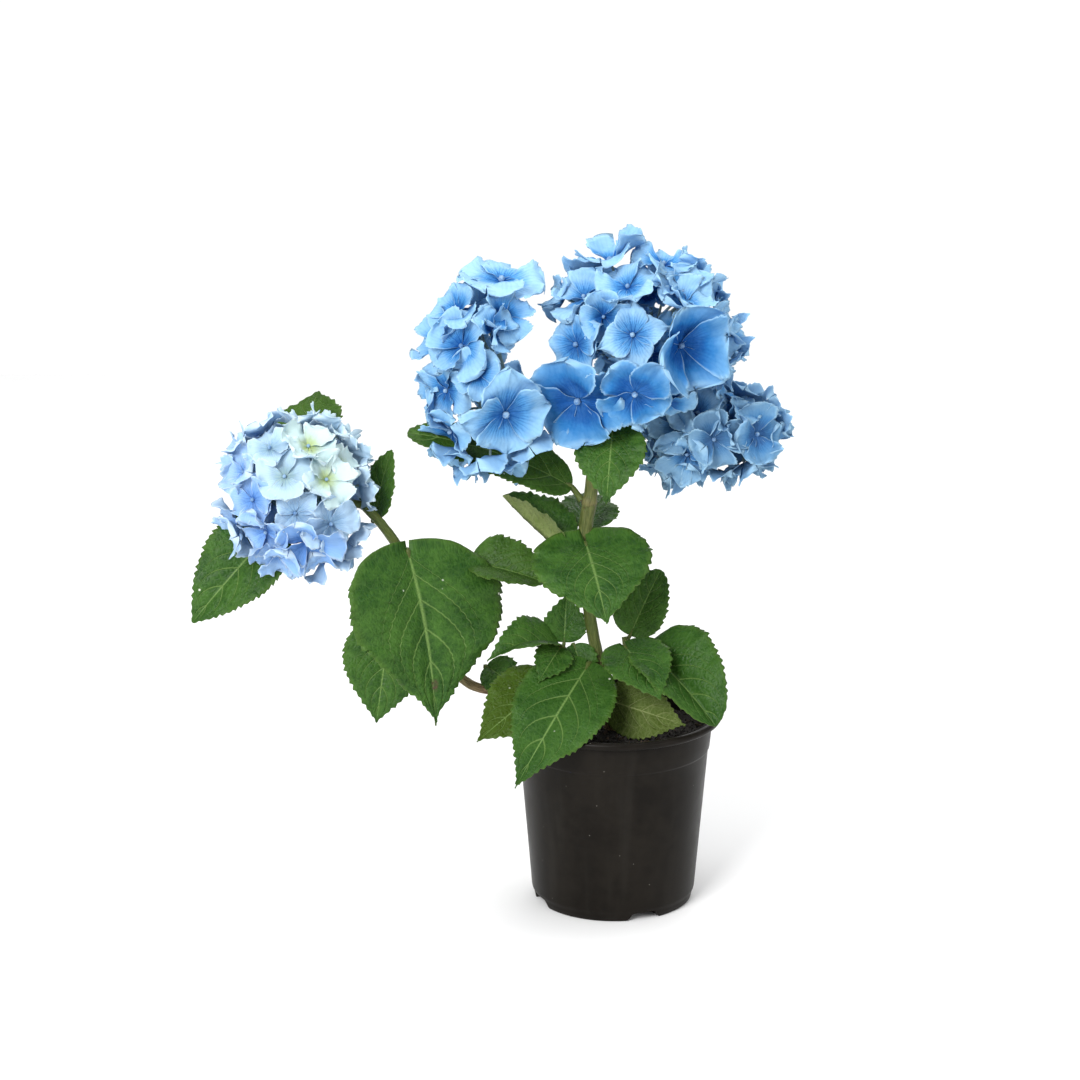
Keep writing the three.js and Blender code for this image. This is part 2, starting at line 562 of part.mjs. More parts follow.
for (const [name, { heads: carried, arms }] of Object.entries(corymbs)) {
  const rays = [];
  const grownRays = [];
  for (const headName of carried) {
    const head = heads[headName];
    head.groups = clustersOf(head);
    const hub = new THREE.Vector3(...head.hub);
    for (const { knot } of head.groups) {
      const end = knot.clone().lerp(hub, (floret.knob + GAP) / knot.distanceTo(hub));
      rays.push(rodBetween(hub, end, ray.radius));
      grownRays.push(rodBetween(hub, end, ray.radius + GAP));
    }
  }
  const solid = join([...arms.map((arm) => stemAlong(arm, ray.sides, ray.steps)), ...rays]);
  const grownKnobs = carried.flatMap((h) => heads[h].groups)
    .map(({ knot }) => solidOf(new THREE.OctahedronGeometry(floret.knob + GAP).translate(...knot)));
  addPiece(name, largest(cutAll(solid, [...cutters, ...grownKnobs])), "stem");
  cutters.push(join([...arms.map((arm) => stemAlong(arm, ray.sides, ray.steps, GAP)), ...grownRays]));
}

for (const leaf of leaves) {
  const pale = oliveLeaves.includes(leaf.name);
  addPiece(leaf.name, largest(cutAll(leafSolid(leaf), cutters)), pale ? "leafPale" : "leaf");
  cutters.push(leafSolid(leaf, GAP));
}

for (const [headName, head] of Object.entries(heads)) {
  head.groups.forEach((cluster, i) => {
    addPiece(`${headName}_florets_${i + 1}`, largest(cutAll(clusterSolid(cluster), cutters)), head.finish);
    cutters.push(clusterSolid(cluster, GAP));
  });
}

export default hydrangea;
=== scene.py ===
# A potted hydrangea with four blue heads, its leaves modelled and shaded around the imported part.
import bpy
import bmesh
import math
import random
import numpy as np
from mathutils import Matrix, Vector


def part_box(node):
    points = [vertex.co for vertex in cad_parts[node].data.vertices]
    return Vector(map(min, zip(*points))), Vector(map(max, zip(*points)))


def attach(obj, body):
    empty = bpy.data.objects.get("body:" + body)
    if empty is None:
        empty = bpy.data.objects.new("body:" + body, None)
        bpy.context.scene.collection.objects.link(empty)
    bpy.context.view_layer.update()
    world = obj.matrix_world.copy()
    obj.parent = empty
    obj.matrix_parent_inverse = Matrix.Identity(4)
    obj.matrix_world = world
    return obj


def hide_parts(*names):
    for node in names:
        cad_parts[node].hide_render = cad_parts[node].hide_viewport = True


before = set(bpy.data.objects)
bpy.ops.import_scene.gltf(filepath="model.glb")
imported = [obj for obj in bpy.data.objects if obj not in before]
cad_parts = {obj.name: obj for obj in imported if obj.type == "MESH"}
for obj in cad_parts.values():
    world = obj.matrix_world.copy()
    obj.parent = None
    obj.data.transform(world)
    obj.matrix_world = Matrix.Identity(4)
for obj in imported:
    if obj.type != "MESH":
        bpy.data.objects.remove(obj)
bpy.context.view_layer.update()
scene = bpy.context.scene
mm = 0.001

# camera and light

view = {"place": (-0.05207, -2.4021, 0.95049), "tilt": 74, "lens": 120, "sensor": 36}
cameraData = bpy.data.cameras.new("camera")
cameraData.lens = view["lens"]
cameraData.sensor_width = view["sensor"]
cameraData.clip_end = 50
cameraObject = bpy.data.objects.new("camera", cameraData)
cameraObject.location = view["place"]
cameraObject.rotation_euler = (math.radians(view["tilt"]), 0, 0)
scene.collection.objects.link(cameraObject)
scene.camera = cameraObject
scene.view_settings.view_transform = "Standard"

softboxes = {
    "key": {"place": (-1.2, -2.2, 1.7), "size": 1.2, "power": 84},
    "fill": {"place": (1.9, -1.5, 0.9), "size": 1.4, "power": 14},
    "top": {"place": (0.1, 0.3, 2.2), "size": 1.6, "power": 26},
    "rim": {"place": (0.6, 2.0, 1.3), "size": 1.2, "power": 10},
}
lookAt = Vector((-0.04, 0, 0.27))
for name, box in softboxes.items():
    lightData = bpy.data.lights.new(name, "AREA")
    lightData.shape = "SQUARE"
    lightData.size = box["size"]
    lightData.energy = box["power"]
    light = bpy.data.objects.new(name, lightData)
    light.location = box["place"]
    light.rotation_euler = (lookAt - light.location).to_track_quat("-Z", "Y").to_euler()
    scene.collection.objects.link(light)

world = bpy.data.worlds.new("studio")
scene.world = world
world.use_nodes = True
sky = world.node_tree.nodes["Background"]
sky.inputs["Color"].default_value = (1, 1, 1, 1)
seen = world.node_tree.nodes.new("ShaderNodeLightPath").outputs["Is Camera Ray"]
brightness = world.node_tree.nodes.new("ShaderNodeMapRange")
brightness.inputs["To Min"].default_value = 0.56
brightness.inputs["To Max"].default_value = 1.05
world.node_tree.links.new(seen, brightness.inputs["Value"])
world.node_tree.links.new(brightness.outputs[0], sky.inputs["Strength"])
print("camera and lights placed")


# small helpers for node trees

def socketOf(sockets, key):
    if isinstance(key, int):
        return sockets[key]
    named = [s for s in sockets if s.name == key]
    return next((s for s in named if s.enabled), named[0])


def addNode(tree, kind, inputs=None, **settings):
    node = tree.nodes.new(kind)
    for key, value in settings.items():
        setattr(node, key, value)
    for key, value in (inputs or {}).items():
        socket = socketOf(node.inputs, key)
        if isinstance(value, bpy.types.NodeSocket):
            tree.links.new(value, socket)
        else:
            socket.default_value = value
    return node


def calc(tree, operation, *values, clamp=False):
    node = addNode(tree, "ShaderNodeMath", dict(enumerate(values)), operation=operation, use_clamp=clamp)
    return node.outputs[0]


def times(tree, first, second, clamp=False):
    return calc(tree, "MULTIPLY", first, second, clamp=clamp)


def plus(tree, first, second):
    return calc(tree, "ADD", first, second)


def minus(tree, first, second, clamp=False):
    return calc(tree, "SUBTRACT", first, second, clamp=clamp)


def larger(tree, first, second):
    return calc(tree, "MAXIMUM", first, second)


def power(tree, base, exponent):
    return calc(tree, "POWER", base, exponent)


def absolute(tree, value):
    return calc(tree, "ABSOLUTE", value)


def spread(tree, value, low, high, to=(0, 1), smooth=True):
    node = addNode(
        tree,
        "ShaderNodeMapRange",
        {"Value": value, "From Min": low, "From Max": high, "To Min": to[0], "To Max": to[1]},
        interpolation_type="SMOOTHSTEP" if smooth else "LINEAR",
    )
    return node.outputs[0]


def blendColour(tree, share, first, second, kind="MIX"):
    node = tree.nodes.new("ShaderNodeMix")
    node.data_type = "RGBA"
    node.blend_type = kind
    for index, value in ((0, share), (6, first), (7, second)):
        if isinstance(value, bpy.types.NodeSocket):
            tree.links.new(value, node.inputs[index])
        else:
            node.inputs[index].default_value = value if index == 0 else (*value, 1)
    return node.outputs[2]


def attribute(tree, name, output="Fac"):
    return addNode(tree, "ShaderNodeAttribute", attribute_name=name).outputs[output]


def noise(tree, coords, scale, detail=3, rough=0.55, output="Fac"):
    node = addNode(
        tree,
        "ShaderNodeTexNoise",
        {"Vector": coords, "Scale": scale, "Detail": detail, "Roughness": rough},
    )
    return node.outputs[output]


def newMaterial(name):
    material = bpy.data.materials.new(name)
    material.use_nodes = True
    tree = material.node_tree
    return material, tree, tree.nodes["Principled BSDF"]


def placeCoords(tree):
    return addNode(tree, "ShaderNodeTexCoord").outputs["Object"]


def nodeGroup(name, kind, inputs, outputs):
    tree = bpy.data.node_groups.new(name, kind)
    for label, socketKind, value in inputs:
        socket = tree.interface.new_socket(name=label, in_out="INPUT", socket_type="NodeSocket" + socketKind)
        if value is not None:
            socket.default_value = value
    for label, socketKind in outputs:
        tree.interface.new_socket(name=label, in_out="OUTPUT", socket_type="NodeSocket" + socketKind)
    return tree, tree.nodes.new("NodeGroupInput").outputs, tree.nodes.new("NodeGroupOutput").inputs


def useGroup(tree, group, inputs):
    node = tree.nodes.new("ShaderNodeGroup")
    node.node_tree = group
    for key, value in inputs.items():
        if isinstance(value, bpy.types.NodeSocket):
            tree.links.new(value, node.inputs[key])
        else:
            node.inputs[key].default_value = value
    return node.outputs


def bumpInto(tree, shader, height, distance, strength=1.0):
    node = addNode(tree, "ShaderNodeBump", {"Height": height, "Distance": distance, "Strength": strength})
    tree.links.new(node.outputs[0], shader.inputs["Normal"])


# shared shader groups

def makeSpecks():
    # small light specks, such as dust and lime, scattered over a surface
    tree, given, result = nodeGroup(
        "specks",
        "ShaderNodeTree",
        [("Coords", "Vector", None), ("Scale", "Float", 400), ("Amount", "Float", 0.1)],
        [("Mask", "Float")],
    )
    cells = addNode(tree, "ShaderNodeTexVoronoi", {"Vector": given["Coords"], "Scale": given["Scale"]})
    pick = addNode(tree, "ShaderNodeSeparateColor", {"Color": cells.outputs["Color"]}).outputs[0]
    chosen = calc(tree, "LESS_THAN", pick, given["Amount"])
    dot = spread(tree, cells.outputs["Distance"], 0.28, 0.12)
    tree.links.new(times(tree, chosen, dot), result["Mask"])
    return tree


def makeMottle():
    # two scales of soft cloudiness that vary a colour, and a fine grain for bump
    tree, given, result = nodeGroup(
        "mottle",
        "ShaderNodeTree",
        [("Coords", "Vector", None), ("Size", "Float", 40), ("Grain", "Float", 900)],
        [("Cloud", "Float"), ("Grain", "Float")],
    )
    wide = noise(tree, given["Coords"], given["Size"], 4)
    fine = noise(tree, given["Coords"], times(tree, given["Size"], 6.0), 3)
    cloud = plus(tree, times(tree, wide, 0.65), times(tree, fine, 0.35))
    tree.links.new(spread(tree, cloud, 0.35, 0.65), result["Cloud"])
    tree.links.new(noise(tree, given["Coords"], given["Grain"], 2), result["Grain"])
    return tree


def makeLeafVeins():
    # midrib, curved side veins and the fine net between them, from the blade's own map
    tree, given, result = nodeGroup(
        "leafVeins",
        "ShaderNodeTree",
        [
            ("Along", "Float", 0), ("Across", "Float", 0), ("Pairs", "Float", 7),
            ("Ratio", "Float", 0.8), ("Flat", "Vector", None),
        ],
        [("Midrib", "Float"), ("Side", "Float"), ("Net", "Float"), ("Cells", "Float")],
    )
    out = absolute(tree, given["Across"])
    narrow = power(tree, minus(tree, 1.05, out), 0.5)
    bowed = calc(tree, "DIVIDE", times(tree, out, times(tree, given["Ratio"], 0.48)), narrow)
    taper = minus(tree, 1.0, times(tree, given["Along"], 0.35))
    back = minus(tree, given["Along"], times(tree, bowed, taper))
    start = plus(tree, power(tree, larger(tree, back, 0.0), 0.8), 0.06)
    phase = calc(tree, "FRACT", times(tree, start, given["Pairs"]))
    near = absolute(tree, minus(tree, phase, 0.5))
    width = spread(tree, out, 0, 1, (0.065, 0.045), smooth=False)
    side = minus(tree, 1.0, calc(tree, "DIVIDE", near, width), clamp=True)
    side = times(tree, side, calc(tree, "GREATER_THAN", back, 0.0))
    side = times(tree, side, spread(tree, out, 0.93, 0.6))
    rib = spread(tree, given["Along"], 0, 1, (0.034, 0.03), smooth=False)
    midrib = minus(tree, 1.0, calc(tree, "DIVIDE", out, rib), clamp=True)
    net = addNode(
        tree, "ShaderNodeTexVoronoi", {"Vector": given["Flat"], "Scale": 330.0},
        feature="DISTANCE_TO_EDGE",
    )
    wideNet = addNode(
        tree, "ShaderNodeTexVoronoi", {"Vector": given["Flat"], "Scale": 130.0},
        feature="DISTANCE_TO_EDGE",
    )
    fine = spread(tree, net.outputs["Distance"], 0.09, 0.0)
    wide = spread(tree, wideNet.outputs["Distance"], 0.06, 0.0)
    tree.links.new(midrib, result["Midrib"])
    tree.links.new(side, result["Side"])
    tree.links.new(larger(tree, times(tree, fine, 0.6), wide), result["Net"])
    tree.links.new(spread(tree, net.outputs["Distance"], 0.0, 0.3), result["Cells"])
    return tree


specks = makeSpecks()
mottle = makeMottle()
leafVeins = makeLeafVeins()


# materials

def makeLeafMaterial(name, look):
    material, tree, shader = newMaterial(name)
    coords = addNode(tree, "ShaderNodeUVMap", uv_map="blade").outputs[0]
    parts = addNode(tree, "ShaderNodeSeparateXYZ", {"Vector": coords}).outputs
    across = times(tree, minus(tree, parts[1], 0.5), 2.0)
    flat = addNode(tree, "ShaderNodeUVMap", uv_map="flat").outputs[0]
    ratio = attribute(tree, "ratio")
    veins = useGroup(
        tree,
        leafVeins,
        {"Along": parts[0], "Across": across, "Pairs": look["pairs"], "Ratio": ratio, "Flat": flat},
    )
    space = placeCoords(tree)
    cloud = useGroup(tree, mottle, {"Coords": space, "Size": 55.0, "Grain": 1500.0})
    tone = attribute(tree, "tone")
    under = attribute(tree, "under")
    blade = blendColour(tree, cloud["Cloud"], look["dark"], look["mid"])
    blade = blendColour(tree, times(tree, tone, 0.9, clamp=True), blade, look["olive"])
    # below 0, tone mixes in a painted shade: the darker green of leaves that lie in shadow
    blade = blendColour(tree, times(tree, tone, -0.9, clamp=True), blade, look["shaded"])
    rimmed = times(tree, spread(tree, absolute(tree, across), 0.86, 1.0), 0.35)
    blade = blendColour(tree, rimmed, blade, look["rim"])
    blade = blendColour(tree, times(tree, veins["Net"], 0.30), blade, look["net"])
    ribs = larger(tree, times(tree, veins["Side"], 0.60), times(tree, veins["Midrib"], 0.8))
    blade = blendColour(tree, ribs, blade, look["vein"])
    below = blendColour(tree, cloud["Cloud"], look["below"], look["belowPale"])
    below = blendColour(tree, times(tree, tone, 0.8, clamp=True), below, look["olive"])
    below = blendColour(tree, times(tree, veins["Net"], 0.2), below, look["belowVein"])
    below = blendColour(
        tree, times(tree, larger(tree, veins["Side"], veins["Midrib"]), 0.6), below, look["belowVein"]
    )
    scar = times(
        tree, spread(tree, attribute(tree, "spot"), 0.0, 0.6),
        spread(tree, veins["Cells"], 0.0, 0.6, (0.5, 1)),
    )
    blade = blendColour(tree, scar, blade, look["scar"])
    colour = blendColour(tree, under, blade, below)
    dots = useGroup(tree, specks, {"Coords": space, "Scale": 260.0, "Amount": 0.006})
    colour = blendColour(tree, times(tree, dots["Mask"], 0.8), colour, look["speck"])
    tree.links.new(colour, shader.inputs["Base Color"])
    rough = plus(tree, times(tree, cloud["Cloud"], 0.14), look["rough"])
    rough = plus(tree, rough, times(tree, under, 0.2))
    tree.links.new(rough, shader.inputs["Roughness"])
    relief = minus(tree, times(tree, veins["Cells"], 0.55), times(tree, veins["Side"], 1.0))
    relief = plus(tree, relief, times(tree, cloud["Grain"], 0.25))
    bumpInto(tree, shader, relief, 0.5 * mm, 0.85)
    glow = addNode(tree, "ShaderNodeBsdfTranslucent", {"Color": colour})
    both = addNode(
        tree, "ShaderNodeMixShader", {0: look["translucent"], 1: shader.outputs[0], 2: glow.outputs[0]}
    )
    tree.links.new(both.outputs[0], tree.nodes["Material Output"].inputs["Surface"])
    shader.inputs["Specular IOR Level"].default_value = 0.16
    return material


leafLook = {
    "pairs": 6.0, "rough": 0.36, "translucent": 0.12,
    "dark": (0.018, 0.063, 0.009), "mid": (0.050, 0.130, 0.018), "olive": (0.048, 0.088, 0.004),
    "shaded": (0.018, 0.066, 0.005),
    "rim": (0.085, 0.155, 0.022), "net": (0.075, 0.16, 0.032), "vein": (0.20, 0.32, 0.09),
    "below": (0.15, 0.20, 0.055), "belowPale": (0.22, 0.27, 0.10), "belowVein": (0.36, 0.41, 0.17),
    "speck": (0.75, 0.78, 0.68), "scar": (0.075, 0.050, 0.030),
}


def makeSepalMaterial(name, look):
    material, tree, shader = newMaterial(name)
    coords = addNode(tree, "ShaderNodeUVMap", uv_map="sepal").outputs[0]
    parts = addNode(tree, "ShaderNodeSeparateXYZ", {"Vector": coords}).outputs
    across = minus(tree, parts[0], 0.5)
    along = plus(tree, parts[1], 0.03)
    warp = noise(tree, coords, 9.0, 3)
    reach = calc(tree, "SQRT", plus(tree, power(tree, across, 2.0), power(tree, along, 2.0)))
    bent = times(tree, minus(tree, warp, 0.5), 0.22)
    angle = plus(tree, calc(tree, "ARCTAN2", across, along), bent)
    fan = power(tree, absolute(tree, calc(tree, "COSINE", times(tree, angle, 8.0))), 16.0)
    twigs = power(tree, absolute(tree, calc(tree, "COSINE", times(tree, angle, 24.0))), 6.0)
    twigs = times(tree, twigs, spread(tree, reach, 0.08, 0.22))
    veins = larger(tree, fan, times(tree, twigs, 0.85))
    veins = times(tree, veins, spread(tree, reach, 0.40, 0.12, (0.14, 1)))
    veins = times(tree, veins, spread(tree, noise(tree, coords, 26.0, 2), 0.25, 0.6, (0.35, 1)))
    rim = attribute(tree, "rim")
    tone = attribute(tree, "tone")
    under = attribute(tree, "under")
    cloud = useGroup(tree, mottle, {"Coords": placeCoords(tree), "Size": 70.0, "Grain": 1800.0})
    soft = plus(tree, reach, times(tree, minus(tree, warp, 0.5), 0.16))
    grown = minus(tree, soft, spread(tree, tone, 0, 1, look["heart"], smooth=False))
    middle = blendColour(tree, tone, look["midDeep"], look["midPale"])
    outer = blendColour(tree, tone, look["outerDeep"], look["outerPale"])
    colour = blendColour(tree, spread(tree, grown, -0.12, 0.05), look["deep"], middle)
    colour = blendColour(tree, spread(tree, grown, 0.0, 0.21), colour, outer)
    colour = blendColour(tree, times(tree, cloud["Cloud"], 0.20), colour, look["cloud"])
    young = attribute(tree, "young")
    fresh = blendColour(tree, spread(tree, soft, 0.05, 0.35), look["youngHeart"], look["youngRim"])
    colour = blendColour(tree, young, colour, fresh)
    veins = times(tree, veins, minus(tree, 1.0, times(tree, young, 0.8)))
    colour = blendColour(tree, times(tree, veins, look["veining"]), colour, look["vein"])
    # painted shade: a grey-blue mixed in per floret, strongest on the right head, which hangs in shadow, and
    # on florets facing down
    colour = blendColour(tree, times(tree, attribute(tree, "dull"), 0.75), colour, look["dull"])
    back = blendColour(tree, spread(tree, reach, 0.0, 0.5), look["back"], look["backPale"])
    back = blendColour(tree, times(tree, veins, 0.3), back, look["vein"])
    colour = blendColour(tree, times(tree, under, 0.8), colour, back)
    # the pale sepal margin is partly the margin's own paler colour and partly a painted highlight
    colour = blendColour(tree, times(tree, spread(tree, rim, 0.86, 1.0), 0.5), colour, look["edge"])
    tree.links.new(colour, shader.inputs["Base Color"])
    tree.links.new(plus(tree, times(tree, cloud["Grain"], 0.15), 0.5), shader.inputs["Roughness"])
    shader.inputs["Specular IOR Level"].default_value = 0.05
    relief = minus(tree, times(tree, cloud["Grain"], 0.35), times(tree, veins, 0.8))
    bumpInto(tree, shader, relief, 0.5 * mm, 0.9)
    glow = addNode(tree, "ShaderNodeBsdfTranslucent", {"Color": colour})
    both = addNode(
        tree, "ShaderNodeMixShader", {0: look["translucent"], 1: shader.outputs[0], 2: glow.outputs[0]}
    )
    tree.links.new(both.outputs[0], tree.nodes["Material Output"].inputs["Surface"])
    return material


# in each look the grey-blue shade colour is a painted shade, mixed into florets that lie in shadow
blueLook = {
    "heart": (0.34, 0.14), "veining": 0.80, "translucent": 0.22,
    "deep": (0.000, 0.075, 0.340), "midDeep": (0.012, 0.180, 0.500), "midPale": (0.130, 0.440, 0.860),
    "outerDeep": (0.160, 0.410, 0.700), "outerPale": (0.460, 0.740, 0.950), "cloud": (0.14, 0.40, 0.78),
    "vein": (0.000, 0.085, 0.360), "dull": (0.09, 0.19, 0.32), "edge": (0.50, 0.76, 0.92),
    "back": (0.10, 0.26, 0.50), "backPale": (0.24, 0.45, 0.70),
    "youngHeart": (0.42, 0.55, 0.12), "youngRim": (0.62, 0.78, 0.78),
}
paleLook = {
    "heart": (0.18, 0.08), "veining": 0.5, "translucent": 0.22,
    "deep": (0.050, 0.190, 0.600), "midDeep": (0.120, 0.330, 0.790), "midPale": (0.36, 0.60, 0.90),
    "outerDeep": (0.260, 0.480, 0.850), "outerPale": (0.58, 0.78, 0.94), "cloud": (0.40, 0.60, 0.90),
    "vein": (0.07, 0.22, 0.62), "dull": (0.22, 0.32, 0.55), "edge": (0.78, 0.90, 0.96),
    "back": (0.24, 0.42, 0.66), "backPale": (0.46, 0.63, 0.80),
    "youngHeart": (0.46, 0.56, 0.10), "youngRim": (0.66, 0.82, 0.78),
}


def makeBeadMaterial():
    material, tree, shader = newMaterial("floretEye")
    cloud = useGroup(tree, mottle, {"Coords": placeCoords(tree), "Size": 300.0, "Grain": 2500.0})
    colour = blendColour(tree, cloud["Cloud"], (0.08, 0.19, 0.40), (0.30, 0.45, 0.60))
    tree.links.new(colour, shader.inputs["Base Color"])
    shader.inputs["Roughness"].default_value = 0.5
    shader.inputs["Specular IOR Level"].default_value = 0.25
    bumpInto(tree, shader, cloud["Grain"], 0.2 * mm)
    return material


def makeStemMaterial(name, look):
    # fibres along the stem, lenticels, and bark that cracks where it is woody
    material, tree, shader = newMaterial(name)
    space = placeCoords(tree)
    along = attribute(tree, "along")
    around = attribute(tree, "around")
    wrapped = addNode(
        tree, "ShaderNodeCombineXYZ", {0: times(tree, along, 60.0), 1: times(tree, around, 14.0)}
    ).outputs[0]
    fibre = noise(tree, wrapped, 2.2, 4)
    cloud = useGroup(tree, mottle, {"Coords": space, "Size": 60.0, "Grain": 1400.0})
    colour = blendColour(tree, spread(tree, fibre, 0.35, 0.65), look["dark"], look["light"])
    colour = blendColour(tree, times(tree, cloud["Cloud"], 0.5), colour, look["cloud"])
    dots = useGroup(tree, specks, {"Coords": space, "Scale": 420.0, "Amount": look["pores"]})
    colour = blendColour(tree, times(tree, dots["Mask"], 0.8), colour, look["pore"])
    wood = attribute(tree, "wood")
    bark = blendColour(tree, spread(tree, fibre, 0.3, 0.6), look["barkDark"], look["barkLight"])
    colour = blendColour(tree, wood, colour, bark)
    tree.links.new(colour, shader.inputs["Base Color"])
    rough = plus(tree, times(tree, wood, 0.35), look["rough"])
    tree.links.new(rough, shader.inputs["Roughness"])
    relief = plus(tree, times(tree, fibre, plus(tree, times(tree, wood, 2.0), 0.5)), dots["Mask"])
    shader.inputs["Specular IOR Level"].default_value = 0.2
    bumpInto(tree, shader, plus(tree, relief, times(tree, cloud["Grain"], 0.3)), 0.5 * mm)
    return material


greenLook = {
    "rough": 0.42, "pores": 0.10,
    "dark": (0.038, 0.064, 0.012), "light": (0.096, 0.130, 0.030), "cloud": (0.075, 0.080, 0.022),
    "pore": (0.10, 0.06, 0.03), "barkDark": (0.075, 0.048, 0.026), "barkLight": (0.30, 0.21, 0.12),
}

paleStalkLook = {
    "rough": 0.5, "pores": 0.03,
    "dark": (0.14, 0.22, 0.24), "light": (0.28, 0.38, 0.40), "cloud": (0.24, 0.33, 0.22),
    "pore": (0.12, 0.16, 0.20), "barkDark": (0.075, 0.048, 0.026), "barkLight": (0.30, 0.21, 0.12),
}


def makePotMaterial():
    material, tree, shader = newMaterial("potPlastic")
    space = placeCoords(tree)
    cloud = useGroup(tree, mottle, {"Coords": space, "Size": 18.0, "Grain": 1200.0})
    parts = addNode(tree, "ShaderNodeSeparateXYZ", {"Vector": space}).outputs
    squash = addNode(
        tree, "ShaderNodeCombineXYZ", {0: parts[0], 1: parts[1], 2: times(tree, parts[2], 0.06)}
    ).outputs[0]
    streak = noise(tree, squash, 60.0, 3)
    colour = blendColour(tree, cloud["Cloud"], (0.0062, 0.0050, 0.0038), (0.0112, 0.0092, 0.0070))
    colour = blendColour(
        tree, times(tree, spread(tree, streak, 0.5, 0.75), 0.3), colour, (0.022, 0.020, 0.017)
    )
    dots = useGroup(tree, specks, {"Coords": space, "Scale": 190.0, "Amount": 0.003})
    fine = useGroup(tree, specks, {"Coords": space, "Scale": 620.0, "Amount": 0.004})
    dust = larger(tree, times(tree, dots["Mask"], 0.45), times(tree, fine["Mask"], 0.35))
    colour = blendColour(tree, dust, colour, (0.42, 0.40, 0.36))
    tree.links.new(colour, shader.inputs["Base Color"])
    rough = plus(tree, times(tree, cloud["Cloud"], 0.10), times(tree, streak, 0.10))
    tree.links.new(plus(tree, rough, 0.28), shader.inputs["Roughness"])
    shader.inputs["Specular IOR Level"].default_value = 0.075
    relief = plus(tree, times(tree, cloud["Grain"], 0.5), times(tree, streak, 0.6))
    bumpInto(tree, shader, relief, 0.12 * mm, 0.6)
    return material


def makeSoilMaterial(name, dark, light, rough):
    material, tree, shader = newMaterial(name)
    space = placeCoords(tree)
    cloud = useGroup(tree, mottle, {"Coords": space, "Size": 120.0, "Grain": 1600.0})
    colour = blendColour(tree, cloud["Cloud"], dark, light)
    colour = blendColour(tree, times(tree, cloud["Grain"], 0.5), colour, dark)
    tree.links.new(colour, shader.inputs["Base Color"])
    shader.inputs["Roughness"].default_value = rough
    bumpInto(tree, shader, plus(tree, cloud["Grain"], cloud["Cloud"]), 0.6 * mm)
    return material


def makeFloorMaterial():
    material, tree, shader = newMaterial("floor")
    cloud = noise(tree, placeCoords(tree), 3.0, 2)
    colour = blendColour(tree, cloud, (0.86, 0.86, 0.86), (0.9, 0.9, 0.9))
    tree.links.new(colour, shader.inputs["Base Color"])
    shader.inputs["Roughness"].default_value = 0.9
    return material


bladeGreen = makeLeafMaterial("bladeGreen", leafLook)
sepalBlue = makeSepalMaterial("sepalBlue", blueLook)
sepalPale = makeSepalMaterial("sepalPale", paleLook)
floretEye = makeBeadMaterial()
stemGreen = makeStemMaterial("stemGreen", greenLook)
stalkPale = makeStemMaterial("stalkPale", paleStalkLook)
potPlastic = makePotMaterial()
soilDark = makeSoilMaterial("soilDark", (0.006, 0.0045, 0.0035), (0.022, 0.015, 0.010), 0.95)
barkChip = makeSoilMaterial("barkChip", (0.020, 0.012, 0.008), (0.085, 0.052, 0.030), 0.9)
perlite = makeSoilMaterial("perlite", (0.45, 0.43, 0.40), (0.78, 0.76, 0.72), 0.9)
print("materials made")


# meshes

def newObject(name, mesh):
    made = bpy.data.objects.new(name, mesh)
    scene.collection.objects.link(made)
    return made


def remove(thing):
    bpy.data.objects.remove(thing)


def boxCentre(points):
    return (np.min(points, axis=0) + np.max(points, axis=0)) / 2


def nodeCentre(*names):
    corners = [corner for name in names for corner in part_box(name)]
    return boxCentre(np.array([list(c) for c in corners]))


def sheetFaces(rows, columns):
    # faces of a closed sheet: an upper grid of points, then the lower grid, joined round the edge
    size = rows * columns
    faces = []
    for i in range(rows - 1):
        for j in range(columns - 1):
            a = i * columns + j
            b = a + columns
            faces.append((a, b, b + 1, a + 1))
            faces.append((size + a, size + a + 1, size + b + 1, size + b))
    edge = list(range(columns))
    edge += [i * columns + columns - 1 for i in range(1, rows)]
    edge += [(rows - 1) * columns + j for j in range(columns - 2, -1, -1)]
    edge += [i * columns for i in range(rows - 2, 0, -1)]
    for a, b in zip(edge, edge[1:] + edge[:1]):
        faces.append((a, b, size + b, size + a))
    return faces


def addFloats(mesh, name, values):
    layer = mesh.attributes.new(name, "FLOAT", "POINT")
    layer.data.foreach_set("value", np.asarray(values, np.float32))


def addMap(mesh, name, perPoint):
    layer = mesh.uv_layers.new(name=name)
    corners = np.zeros(len(mesh.loops), np.int32)
    mesh.loops.foreach_get("vertex_index", corners)
    layer.data.foreach_set("uv", np.asarray(perPoint, np.float32)[corners].ravel())


def makeMesh(name, points, faces, materials):
    mesh = bpy.data.meshes.new(name)
    mesh.from_pydata([tuple(p) for p in points], [], faces)
    for material in materials:
        mesh.materials.append(material)
    mesh.shade_smooth()
    return mesh


def faceOutwards(mesh):
    work = bmesh.new()
    work.from_mesh(mesh)
    bmesh.ops.recalc_face_normals(work, faces=work.faces)
    work.to_mesh(mesh)
    work.free()


def modifierInput(modifier, name, value):
    tree = modifier.node_group
    item = next(i for i in tree.interface.items_tree if i.in_out == "INPUT" and i.name == name)
    modifier[item.identifier] = value


def growWith(source, tree, inputs, name):
    # runs a Geometry Nodes tree on an object and returns the plain mesh that it makes
    modifier = source.modifiers.new("grow", "NODES")
    modifier.node_group = tree
    for key, value in inputs.items():
        modifierInput(modifier, key, value)
    graph = bpy.context.evaluated_depsgraph_get()
    mesh = bpy.data.meshes.new_from_object(
        source.evaluated_get(graph), preserve_all_data_layers=True, depsgraph=graph
    )
    mesh.name = name
    source.modifiers.remove(modifier)
    return mesh


def finishPiece(piece, slotName, *nodes):
    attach(piece, "root")
    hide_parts(*nodes)
    return piece


# pot

